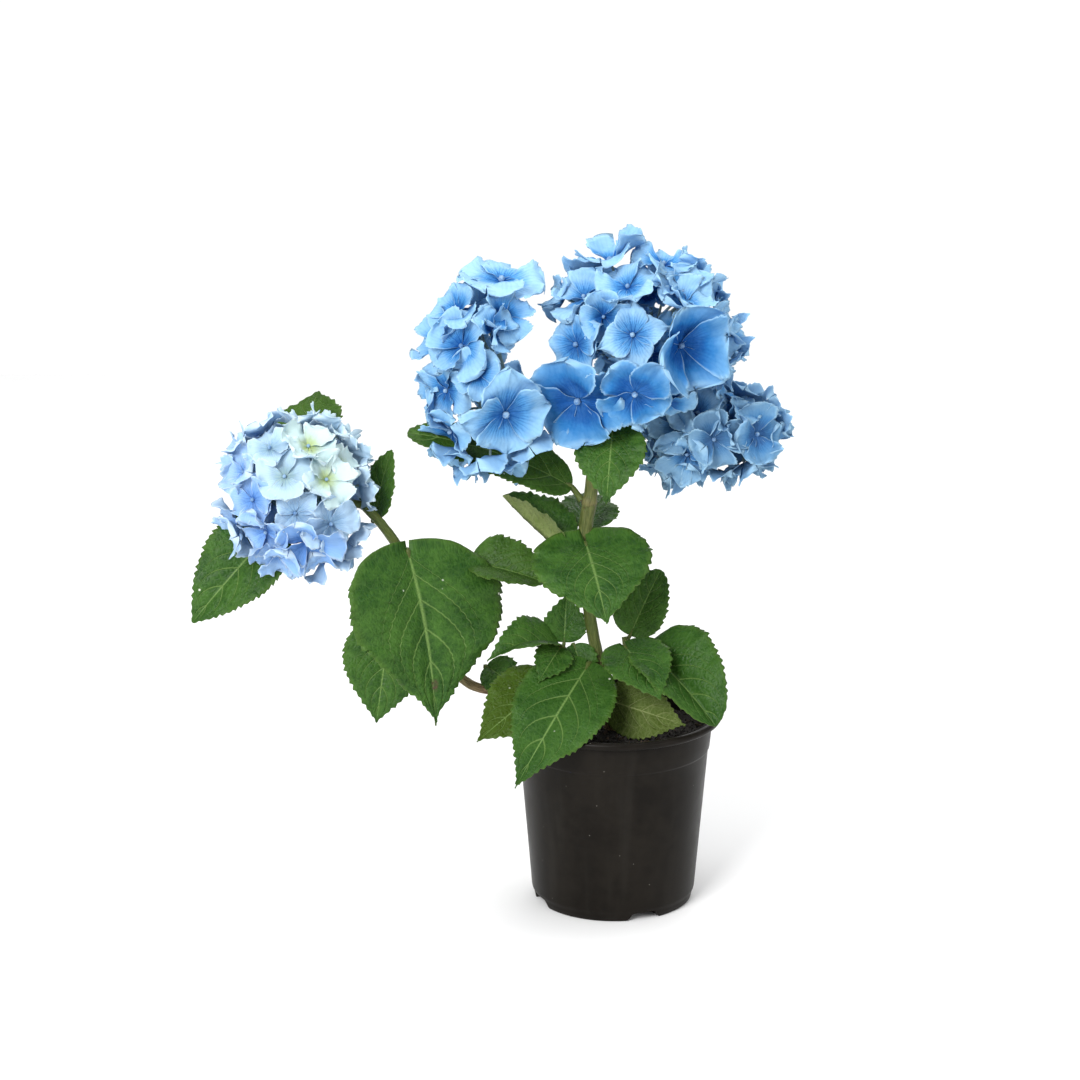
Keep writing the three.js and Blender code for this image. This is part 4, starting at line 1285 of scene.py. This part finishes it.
# forms that a floret takes: cup is the rise at the rim in degrees, point is how sharp the sepals' tips are,
# spoon how hollow each sepal is, recurve how far its tip turns back, ripple how wavy its rim is,
# broad its width beside its length, and loose how far each sepal strays from the others
forms = {
    "open": {
        "cup": 9, "point": 0.60, "spoon": 0.20,
        "recurve": 0.14, "ripple": 0.045, "broad": 0.96, "loose": 0.9,
    },
    "spooned": {
        "cup": 14, "point": 0.52, "spoon": 0.26,
        "recurve": 0.18, "ripple": 0.055, "broad": 1.06, "loose": 1.0,
    },
    "broad": {
        "cup": 12, "point": 0.46, "spoon": 0.24,
        "recurve": 0.12, "ripple": 0.070, "broad": 1.18, "loose": 1.1,
    },
    "pointed": {
        "cup": 8, "point": 1.35, "spoon": 0.16,
        "recurve": 0.12, "ripple": 0.055, "broad": 1.06, "loose": 0.9,
    },
    "star": {
        "cup": 6, "point": 1.6, "spoon": 0.12,
        "recurve": 0.22, "ripple": 0.060, "broad": 0.78, "loose": 1.2,
    },
    "cupped": {
        "cup": 21, "point": 0.46, "spoon": 0.28,
        "recurve": 0.18, "ripple": 0.065, "broad": 1.10, "loose": 1.1,
    },
    "hollow": {
        "cup": 28, "point": 0.50, "spoon": 0.34,
        "recurve": 0.24, "ripple": 0.060, "broad": 1.06, "loose": 1.2,
    },
    "bell": {
        "cup": 33, "point": 0.45, "spoon": 0.34,
        "recurve": 0.20, "ripple": 0.050, "broad": 1.28, "loose": 0.8,
    },
    "dish": {
        "cup": 7, "point": 0.46, "spoon": 0.14,
        "recurve": 0.18, "ripple": 0.055, "broad": 1.18, "loose": 0.7,
    },
    "five": {
        "cup": 17, "point": 0.55, "spoon": 0.24,
        "recurve": 0.16, "ripple": 0.060, "broad": 1.06, "loose": 1.1, "sepals": 5,
    },
    "ruffled": {
        "cup": 16, "point": 0.52, "spoon": 0.34,
        "recurve": 0.24, "ripple": 0.095, "broad": 1.10, "loose": 1.3,
    },
    "curled": {
        "cup": 25, "point": 0.56, "spoon": 0.40,
        "recurve": 0.32, "ripple": 0.075, "broad": 1.06, "loose": 1.5,
    },
}
commonForms = ("spooned", "cupped", "ruffled", "hollow", "five", "broad")


def sepalPoints(form, number, picker):
    # one closed sepal, for a floret one unit across that faces +Z
    a = np.linspace(-1, 1, sepal["columns"])[None, :]  # from edge to edge
    b = 1 - (1 - np.linspace(0, 1, sepal["rows"])[:, None]) ** 1.4  # from the base to the tip
    out = np.abs(a)
    count = form.get("sepals", 4)
    loose = form["loose"]
    phases = picker.uniform(0, 2 * np.pi, 10)
    reach = sepal["long"] * picker.uniform(1 - 0.10 * loose, 1 + 0.04 * loose)
    # outline, with a ragged edge
    belly, point = sepal["belly"], form["point"]
    widest = belly / (belly + point)
    swell = (b.clip(1e-5) ** belly * (1 - b).clip(1e-4) ** point) / (widest**belly * (1 - widest) ** point)
    half = 0.008 + sepal["wide"] * form["broad"] * (4 / count) ** 0.8 * swell * picker.uniform(0.90, 1.08)
    skew = 0.12 * loose * picker.uniform(-1, 1)
    teeth = np.abs(np.sin(b * 31 + phases[0])) - 0.5
    ragged = 1 + out**8 * np.clip(b * 3 - 0.8, 0, 1) * (0.090 * teeth + 0.03 * np.sin(b * 8 + phases[1]))
    x = a * half * ragged + skew * b**2 * reach
    y = 0.010 + reach * (b + 0.034 * (np.abs(np.sin(a * 12 + phases[2])) - 0.5) * b**10)
    # height: the rise of the cup, the curl of the tip, the hollow, the middle crease, pleats and ripples
    distance = np.sqrt(x**2 + y**2)
    rise = math.tan(math.radians(form["cup"])) * 1.9 * distance**2
    curl = form["recurve"] * picker.uniform(0.2, 1.5) * np.clip(b - 0.45, 0, 1) ** 2 * 2.4
    spoon = form["spoon"] * picker.uniform(0.4, 1.4) * out**2 * half * (1 - 0.45 * b)
    crease = -0.014 * np.exp(-((out / 0.15) ** 2)) * np.sin(np.pi * b) ** 0.7
    pleat = 0.009 * np.cos(a * 14 + phases[7]) * np.clip(b - 0.1, 0, 1)
    ripple = 1.15 * form["ripple"] * out**2 * np.sin(b * 7.5 + phases[3] + (a > 0) * phases[4]) * b
    ripple = ripple + 0.8 * form["ripple"] * b**4 * np.sin(a * 4.2 + phases[5])
    ripple = ripple + 0.3 * form["ripple"] * out**4 * np.sin(b * 22 + phases[6])
    soft = 0.014 * np.sin(x * 14 + phases[8]) * np.sin(y * 15 + phases[9]) * np.clip(b * 2, 0, 1)
    z = rise - curl + spoon + crease + pleat + ripple + soft
    z = z + (0.050 * (number % 2) - 0.01) * np.clip(b * 2.2, 0, 1)
    # the sheets are joined, then turned to the sepal's place round the eye
    thick = sepal["thick"] * (1 - 0.6 * np.maximum(out**4, b**6))
    upper = np.stack([x, y, z], -1).reshape(-1, 3)
    lower = np.stack([x, y, z - thick], -1).reshape(-1, 3)
    sway = picker.uniform(-1, 1, 3) * (0.12, 0.22, 0.22) * loose
    tilt = Matrix.Rotation(sway[1], 3, "X") @ Matrix.Rotation(sway[2], 3, "Y")
    turn = np.array(Matrix.Rotation(2 * math.pi * number / count + sway[0], 3, "Z") @ tilt)
    maps = np.stack([x + 0.5, y], -1).reshape(-1, 2)
    rim = np.maximum(out + 0 * b, b + 0 * a).reshape(-1)
    return np.concatenate([upper, lower]) @ turn.T, np.concatenate([maps, maps]), np.concatenate([rim, rim])


eye = {"rows": 9, "turns": 16, "radius": 0.037, "seam": 0.16, "tall": 1.05, "lift": 0.03}


def beadPoints():
    # the eye: a small ball with four seams
    rows, turns = eye["rows"], eye["turns"]
    _, faces = spun([(0, 0)] + [(1, 0)] * (rows - 2) + [(0, 0)], turns)
    placed = []
    for i in range(rows):
        polar = math.pi * i / (rows - 1)
        ring = 1 if i in (0, rows - 1) else turns
        for k in range(ring):
            angle = 2 * math.pi * k / turns
            seam = eye["seam"] * abs(math.cos(2 * angle)) ** 6 * math.sin(polar)
            radius = eye["radius"] * (1 - seam) * math.sin(polar)
            level = eye["lift"] - eye["radius"] * eye["tall"] * math.cos(polar)
            placed.append((radius * math.cos(angle), radius * math.sin(angle), level))
    return placed, faces


def makeForm(number, form):
    picker = np.random.default_rng(40 + number)
    points, maps, rims, faces, under = [], [], [], [], []
    grid = sheetFaces(sepal["rows"], sepal["columns"])
    for k in range(form.get("sepals", 4)):
        sheet, flat, rim = sepalPoints(form, k, picker)
        faces += [tuple(v + len(points) for v in face) for face in grid]
        points += sheet.tolist()
        maps += flat.tolist()
        rims += rim.tolist()
        half = len(sheet) // 2
        under += [0.0] * half + [1.0] * half
    bead = [0.0] * len(points)
    ball, ballFaces = beadPoints()
    faces += [tuple(v + len(points) for v in face) for face in ballFaces]
    points += ball
    maps += [(0.5, 0.0)] * len(ball)
    rims += [0.0] * len(ball)
    under += [0.0] * len(ball)
    bead += [1.0] * len(ball)
    mesh = makeMesh(f"form{number:02d}", points, faces, [])
    addMap(mesh, "sepal", maps)
    addFloats(mesh, "rim", rims)
    addFloats(mesh, "under", under)
    addFloats(mesh, "bead", bead)
    faceOutwards(mesh)
    return newObject(f"form{number:02d}", mesh)


def headTree():
    # florets of the given forms on points that say how each is turned, sized and tinted
    tree, given, result = nodeGroup(
        "flowerHead",
        "GeometryNodeTree",
        [
            ("Geometry", "Geometry", None), ("Forms", "Collection", None), ("Sepal", "Material", None),
            ("Eye", "Material", None),
        ],
        [("Geometry", "Geometry")],
    )

    def named(name, kind):
        node = addNode(tree, "GeometryNodeInputNamedAttribute", {"Name": name}, data_type=kind)
        return socketOf(node.outputs, "Attribute")

    shapes = addNode(
        tree,
        "GeometryNodeCollectionInfo",
        {"Collection": given["Forms"], "Separate Children": True, "Reset Children": True},
    )
    turn = addNode(tree, "FunctionNodeEulerToRotation", {0: named("turn", "FLOAT_VECTOR")})
    placed = addNode(
        tree,
        "GeometryNodeInstanceOnPoints",
        {
            "Points": given["Geometry"], "Instance": shapes.outputs[0], "Pick Instance": True,
            "Instance Index": named("form", "INT"), "Rotation": turn.outputs[0],
            "Scale": named("span", "FLOAT"),
        },
    )
    real = addNode(tree, "GeometryNodeRealizeInstances", {"Geometry": placed.outputs[0]})
    soft = addNode(tree, "GeometryNodeSetShadeSmooth", {"Geometry": real.outputs[0]})
    blue = addNode(tree, "GeometryNodeSetMaterial", {"Geometry": soft.outputs[0], "Material": given["Sepal"]})
    isBead = calc(tree, "GREATER_THAN", named("bead", "FLOAT"), 0.5)
    done = addNode(
        tree,
        "GeometryNodeSetMaterial",
        {"Geometry": blue.outputs[0], "Selection": isBead, "Material": given["Eye"]},
    )
    tree.links.new(done.outputs[0], result["Geometry"])
    return tree


# heads: offset goes from the middle of the part's own box to the middle of the dome that the florets lie on,
# half is the dome's half size, and hub is where its stalks part, less the dome's middle. A floret is
# (around, up, span, spin, out, turn, lean, form, tone), with tone from deep blue to pale. A head has no added
# florets near its bare direction.
# each head's shade share says how much painted shade greys its florets, the most on the right head, which
# hangs in shadow
heads = {
    "left_head": {
        "finish": sepalBlue, "slot": "sepal_blue", "offset": (-0.7, 5.7, -3.5), "half": (36, 38, 62),
        "hub": (14, 4, -11),
        "inner": 12, "clusters": 6, "fillers": 26, "spacing": 44, "lowest": -0.8, "tone": 0.5,
        "dull": 0.15, "bare": (82, 0),
        "florets": [
            (18, -15, 68, 4, 1.16, 0, -6, "pointed", 0.65), (112, 74, 62, 55, 1.05, -90, 2, "dish", 0.8),
            (-75, 23, 44, 40, 0.94, 10, 0, "cupped", 0.55), (-53, 47, 42, 70, 1.0, 0, 0, "spooned", 0.6),
            (-30, 24, 46, 60, 1.0, 0, 0, "cupped", 0.65), (-9, 8, 38, 20, 1.0, 0, 14, "spooned", 0.6),
            (-49, -6, 44, 10, 1.0, 0, 0, "broad", 0.6), (-84, -18, 42, 30, 0.94, 0, 0, "cupped", 0.45),
            (-62, -38, 50, 35, 0.98, 0, 0, "broad", 0.4), (7, -62, 52, 15, 1.0, 0, -10, "ruffled", 0.5),
            (-72, -60, 46, 0, 1.0, 0, 0, "cupped", 0.5), (78, -46, 48, 60, 1.0, 0, -20, "ruffled", 0.45),
            (8, 36, 34, 30, 0.98, 50, -20, "curled", 0.55), (30, 50, 38, 20, 0.92, 0, -20, "cupped", 0.5),
        ],
    },
    "centre_head": {
        "finish": sepalBlue, "slot": "sepal_blue", "offset": (1.2, 8.7, -8.1), "half": (60, 54, 58),
        "hub": (-8, -2, -33),
        "inner": 22, "clusters": 8, "fillers": 34, "spacing": 36, "lowest": -0.6, "tone": 0.6,
        "dull": 0.2, "bare": (-90, -8),
        "florets": [
            (-45, -26, 66, 15, 1.16, 24, 4, "broad", 0.02), (-6, -19, 56, 45, 1.10, 8, -6, "open", 0.1),
            (-48, 8, 50, 45, 1.02, 0, 0, "pointed", 0.65), (-8, 18, 50, 20, 1.0, 0, 6, "star", 0.85),
            (22, 11, 58, 10, 1.08, 9, -22, "bell", 0.08), (34, 38, 40, 0, 1.0, 0, 10, "cupped", 0.75),
            (-17, 52, 44, 40, 1.02, 0, 10, "broad", 0.75), (-60, 40, 42, 20, 1.0, 0, 10, "cupped", 0.8),
            (-110, 68, 58, 10, 1.04, 0, 0, "cupped", 0.55), (70, 76, 46, 30, 1.0, 0, 0, "broad", 0.6),
            (100, 50, 42, 10, 1.0, 0, 0, "cupped", 0.6), (40, 48, 44, 50, 0.98, 0, 0, "ruffled", 0.75),
            (92, 26, 38, 20, 0.92, 0, 0, "spooned", 0.6), (88, 4, 34, 35, 1.02, 10, 0, "curled", 0.6),
            (-94, 32, 38, 10, 1.04, 0, 0, "ruffled", 0.8), (84, -20, 40, 60, 0.94, 0, 0, "cupped", 0.5),
            (-66, -52, 44, 10, 1.0, 0, -10, "ruffled", 0.7), (-33, 30, 36, 0, 0.97, 40, -40, "hollow", 0.6),
            (20, -36, 42, 20, 0.94, 0, -14, "open", 0.4), (-24, -50, 40, 40, 0.94, 0, -14, "spooned", 0.6),
            (64, 12, 42, 30, 0.9, 0, 0, "cupped", 0.5),
        ],
    },
    "right_head": {
        "finish": sepalBlue, "slot": "sepal_blue", "offset": (0.2, 2.4, 3.0), "half": (41, 40, 25),
        "hub": (-11, -6, 7),
        "inner": 12, "clusters": 5, "fillers": 22, "spacing": 46, "lowest": -0.95, "tone": 0.5, "dull": 1.0,
        "florets": [
            (45, 54, 50, 20, 1.05, 30, 6, "star", 0.6), (-24, 45, 42, 40, 1.02, 0, 0, "ruffled", 0.75),
            (-42, 20, 38, 30, 1.0, 0, 0, "ruffled", 0.7), (-3, 8, 40, 10, 1.0, 20, -10, "hollow", 0.6),
            (16, 32, 38, 50, 0.98, 30, -14, "ruffled", 0.6), (42, 10, 44, 10, 1.02, 0, 0, "broad", 0.35),
            (92, 22, 38, 30, 1.03, 0, 0, "ruffled", 0.6), (76, -22, 42, 20, 1.02, 0, -6, "broad", 0.6),
            (54, -52, 42, 40, 1.02, 0, -10, "cupped", 0.55), (-17, -58, 42, 15, 1.0, 0, -10, "hollow", 0.65),
            (-30, -20, 42, 40, 1.0, 0, 0, "ruffled", 0.7), (-82, -24, 40, 25, 1.02, 0, 0, "curled", 0.6),
            (-76, -50, 40, 10, 1.3, 0, 10, "ruffled", 0.6),
        ],
    },
    "side_head": {
        "finish": sepalPale, "slot": "sepal_pale", "offset": (1.6, 3.4, -1.2), "half": (43, 40, 48),
        "hub": (16, 3, -6),
        "inner": 16, "clusters": 7, "fillers": 34, "spacing": 38, "lowest": -0.7, "tone": 0.7,
        "dull": 0.1, "young": (48, 44),
        "florets": [
            (13, -28, 48, 20, 1.05, 0, -6, "hollow", 0.05), (2, -1, 40, 45, 1.04, 0, 6, "star", 0.6),
            (34, -12, 44, 15, 1.05, 0, 4, "open", 0.45), (-38, 7, 42, 30, 1.04, 0, 0, "pointed", 0.3),
            (-78, -24, 44, 10, 1.02, 0, 0, "ruffled", 0.5), (-8, 28, 40, 20, 1.02, 0, 6, "broad", 0.5),
            (-37, 52, 40, 50, 1.02, 0, 6, "pointed", 0.55), (-94, 36, 38, 25, 1.05, 0, 0, "curled", 0.6),
            (-62, 26, 36, 15, 1.0, 0, 0, "ruffled", 0.5), (23, 55, 38, 35, 1.02, 0, 6, "ruffled", 0.9),
            (110, 56, 42, 20, 1.05, 0, 0, "cupped", 0.8), (104, 38, 36, 40, 1.06, 0, 0, "ruffled", 0.9),
            (62, 32, 26, 10, 0.98, 0, 0, "hollow", 1.0), (92, 8, 36, 25, 1.02, 0, 0, "ruffled", 0.9),
            (-28, -20, 38, 15, 1.0, 0, -4, "hollow", 0.3), (-18, -44, 40, 60, 1.0, 0, -8, "ruffled", 0.3),
            (82, -38, 38, 15, 1.04, 0, 0, "ruffled", 0.5), (56, -58, 40, 50, 1.02, 0, 0, "curled", 0.3),
            (156, 76, 40, 20, 1.0, 0, 0, "cupped", 0.8), (-106, 58, 38, 30, 1.04, 0, 0, "spooned", 0.6),
            (34, 24, 38, 25, 1.0, 0, 0, "cupped", 0.9),
        ],
    },
}
# fillers close the gaps between the listed florets, and smaller inner ones sit deeper in the head. clear is
# how far each kind stays from a head's bare side, in degrees.
filler = {"out": 0.98, "span": 46, "tones": 0.2, "clear": 50}
inner = {"out": 0.64, "spans": (26, 31), "tipped": 25, "turned": 20, "deeper": 0.25, "clear": 45}
goldenTurn = 137.508


def outward(around, up):
    a, u = math.radians(around), math.radians(up)
    return Vector((math.sin(a) * math.cos(u), -math.cos(a) * math.cos(u), math.sin(u)))


def spiral(count, lowest):
    for i in range(count):
        height = 1 - (1 - lowest) * ((i + 0.5) / count)
        yield i, (i * goldenTurn) % 360, math.degrees(math.asin(height))


def isBare(head, place, spread):
    return "bare" in head and math.degrees(place.angle(outward(*head["bare"]))) < spread


def listedFlorets(head):
    for around, up, span, spin, out, turn, lean, form, tone in head["florets"]:
        yield {
            "way": outward(around, up), "facing": outward(around + turn, up + lean), "out": out,
            "span": span, "spin": spin, "form": form, "tone": tone,
        }


def floretsOf(head, picker):
    found = list(listedFlorets(head))
    for i, around, up in spiral(head["fillers"], head["lowest"]):
        place = outward(around, up)
        crowded = any(math.degrees(place.angle(f["way"])) <= head["spacing"] for f in found)
        if crowded or isBare(head, place, filler["clear"]):
            continue
        found.append({
            "way": place, "facing": place, "out": filler["out"], "span": filler["span"] - (i % 3) * 3,
            "spin": (i * 47) % 90, "form": picker.choice(commonForms),
            "tone": head["tone"] + picker.uniform(-filler["tones"], filler["tones"]),
        })
    for i, around, up in spiral(head["inner"], head["lowest"]):
        place = outward(around + inner["turned"], up)
        if isBare(head, place, inner["clear"]):
            continue
        sideways = picker.uniform(-inner["tipped"], inner["tipped"])
        upwards = picker.uniform(-inner["tipped"], inner["tipped"])
        found.append({
            "way": place, "facing": outward(around + sideways, up + upwards), "out": inner["out"],
            "span": picker.uniform(*inner["spans"]), "spin": picker.uniform(0, 90),
            "form": picker.choice(commonForms), "tone": head["tone"] - inner["deeper"],
        })
    for f in found:
        f["at"] = head["middle"] + f["out"] * Vector(head["half"]) * f["way"]
        # painted shade: the head's share, larger on florets that face down, greys them towards the shade
        # colour
        f["dull"] = min(1, max(0, head["dull"] * (0.75 - 0.55 * f["way"].z) * picker.uniform(0.6, 1.3)))
        f["young"] = youngShare(head, f["way"])
    return found


def youngShare(head, way):
    # how fresh a floret still is, from one side of the head outwards
    if "young" not in head:
        return 0.0
    apart = math.degrees(way.angle(outward(*head["young"])))
    return min(0.9, max(0, 1.25 - apart / 60))


def clustersOf(head, florets):
    seeds = [outward(around, up) for _, around, up in spiral(head["clusters"], head["lowest"])]
    groups = [[] for _ in seeds]
    for f in florets:
        nearest = min(range(len(seeds)), key=lambda k: f["way"].angle(seeds[k]))
        groups[nearest].append(f)
    return groups


def floretTurn(f):
    side = Vector((0, 0, 1)).cross(f["facing"]).normalized()
    above = f["facing"].cross(side)
    basis = Matrix((side, above, f["facing"])).transposed()
    return basis @ Matrix.Rotation(math.radians(f["spin"]), 3, "Z")


def clusterMesh(name, florets, head, tree, shapes):
    mesh = bpy.data.meshes.new(name)
    mesh.from_pydata([tuple(f["at"] * mm) for f in florets], [], [])
    addFloats(mesh, "span", [f["span"] * mm for f in florets])
    for label in ("tone", "dull", "young"):
        addFloats(mesh, label, [f[label] for f in florets])
    turns = mesh.attributes.new("turn", "FLOAT_VECTOR", "POINT")
    turns.data.foreach_set(
        "vector", np.array([list(floretTurn(f).to_euler()) for f in florets], np.float32).ravel()
    )
    kinds = mesh.attributes.new("form", "INT", "POINT")
    kinds.data.foreach_set("value", [list(forms).index(f["form"]) for f in florets])
    source = newObject(name, mesh)
    made = growWith(source, tree, {"Forms": shapes, "Sepal": head["finish"], "Eye": floretEye}, name)
    remove(source)
    return made


def stalksOf(florets, knot):
    paths = []
    for f in florets:
        end = f["at"] - f["facing"] * 0.5
        bend = end - f["facing"] * 0.4 * (end - knot).length
        paths.append([
            (*knot, 1.3, 0), (*knot.lerp(bend, 0.5), 1.0, 0), (*bend.lerp(end, 0.35), 0.9, 0),
            (*end, 0.95, 0),
        ])
    return paths


def makeHeads():
    shapes = bpy.data.collections.new("floretForms")
    prototypes = [makeForm(number, form) for number, form in enumerate(forms.values())]
    for shape in prototypes:
        scene.collection.objects.unlink(shape)
        shapes.objects.link(shape)
    tree = headTree()
    for order, (headName, head) in enumerate(heads.items()):
        nodes = [f"{headName}_florets_{k + 1}" for k in range(head["clusters"])]
        head["middle"] = Vector(nodeCentre(*nodes) / mm) + Vector(head["offset"])
        hub = head["middle"] + Vector(head["hub"])
        groups = clustersOf(head, floretsOf(head, random.Random(70 + order)))
        for name, group in zip(nodes, groups):
            mesh = clusterMesh(name, group, head, tree, shapes)
            piece = newObject(name + "_sepals", mesh)
            middle = sum((f["at"] for f in group), Vector()) / len(group)
            knot = hub.lerp(middle, 0.55)
            start = hub.lerp(knot, 0.12)
            paths = stalksOf(group, knot) + [
                [(*start, 1.7, 0), (*start.lerp(knot, 0.5), 1.5, 0), (*knot, 1.5, 0)]
            ]
            stalks = newObject("stalks", tubeMesh("stalks", paths, stalkPale, 8, 2.0))
            with bpy.context.temp_override(active_object=piece, selected_editable_objects=[piece, stalks]):
                bpy.ops.object.join()
            finishPiece(piece, head["slot"], name)
    for shape in prototypes:
        remove(shape)


makeHeads()
print("flower heads made")

# the stalks inside the heads

# each arm less the hub of the head named, as (x, y, z, radius, woodiness)
corymbs = {
    "main_corymb_stalk": {
        "head": "centre_head",
        "arms": [
            [(-28, -6, -79.2, 4.9, 0.2), (-28, -6, -77, 5.6, 0.3), (-27, -5, -72, 4.8, 0.1),
             (-25, -4, -55, 4.3, 0.1), (-16, -2, -30, 3.8, 0), (-6, -1, -12, 3.2, 0), (0, 0, 0, 2.8, 0)],
            [(-14, -2, -26, 2.4, 0), (-40, -6, -8, 2.2, 0), (-66, -9, 2, 2.0, 0), (-84, -10, 6, 2.0, 0)],
            [(-10, -1, -20, 2.4, 0), (14, 8, -16, 2.2, 0), (36, 14, -19, 2.0, 0), (50, 16, -24, 2.0, 0)],
        ],
    },
    "side_corymb_stalk": {
        "head": "side_head",
        "arms": [[(28, 1, -1.5, 2.9, 0), (18, 0, 0, 2.7, 0), (8, 0, 0, 2.5, 0), (0, 0, -1, 2.4, 0)]],
    },
}
for name, corymb in corymbs.items():
    head = heads[corymb["head"]]
    hub = head["middle"] + Vector(head["hub"])
    arms = [[(*(hub + Vector(stop[:3])), *stop[3:]) for stop in arm] for arm in corymb["arms"]]
    made = tubeMesh(name + "_skin", arms, stemGreen, sides=20, spacing=1.5, lumps=0.5, lumpSize=160.0)
    finishPiece(newObject(name + "_skin", made), "green_stem", name)
print("stalks in the heads made")

# floor

floorMesh = makeMesh(
    "floor",
    [(-1.6, -1.6, 0), (1.6, -1.6, 0), (1.6, 1.6, 0), (-1.6, 1.6, 0)],
    [(0, 1, 2, 3)],
    [makeFloorMaterial()],
)
floor = newObject("floor", floorMesh)
floor.location.z = -0.0002
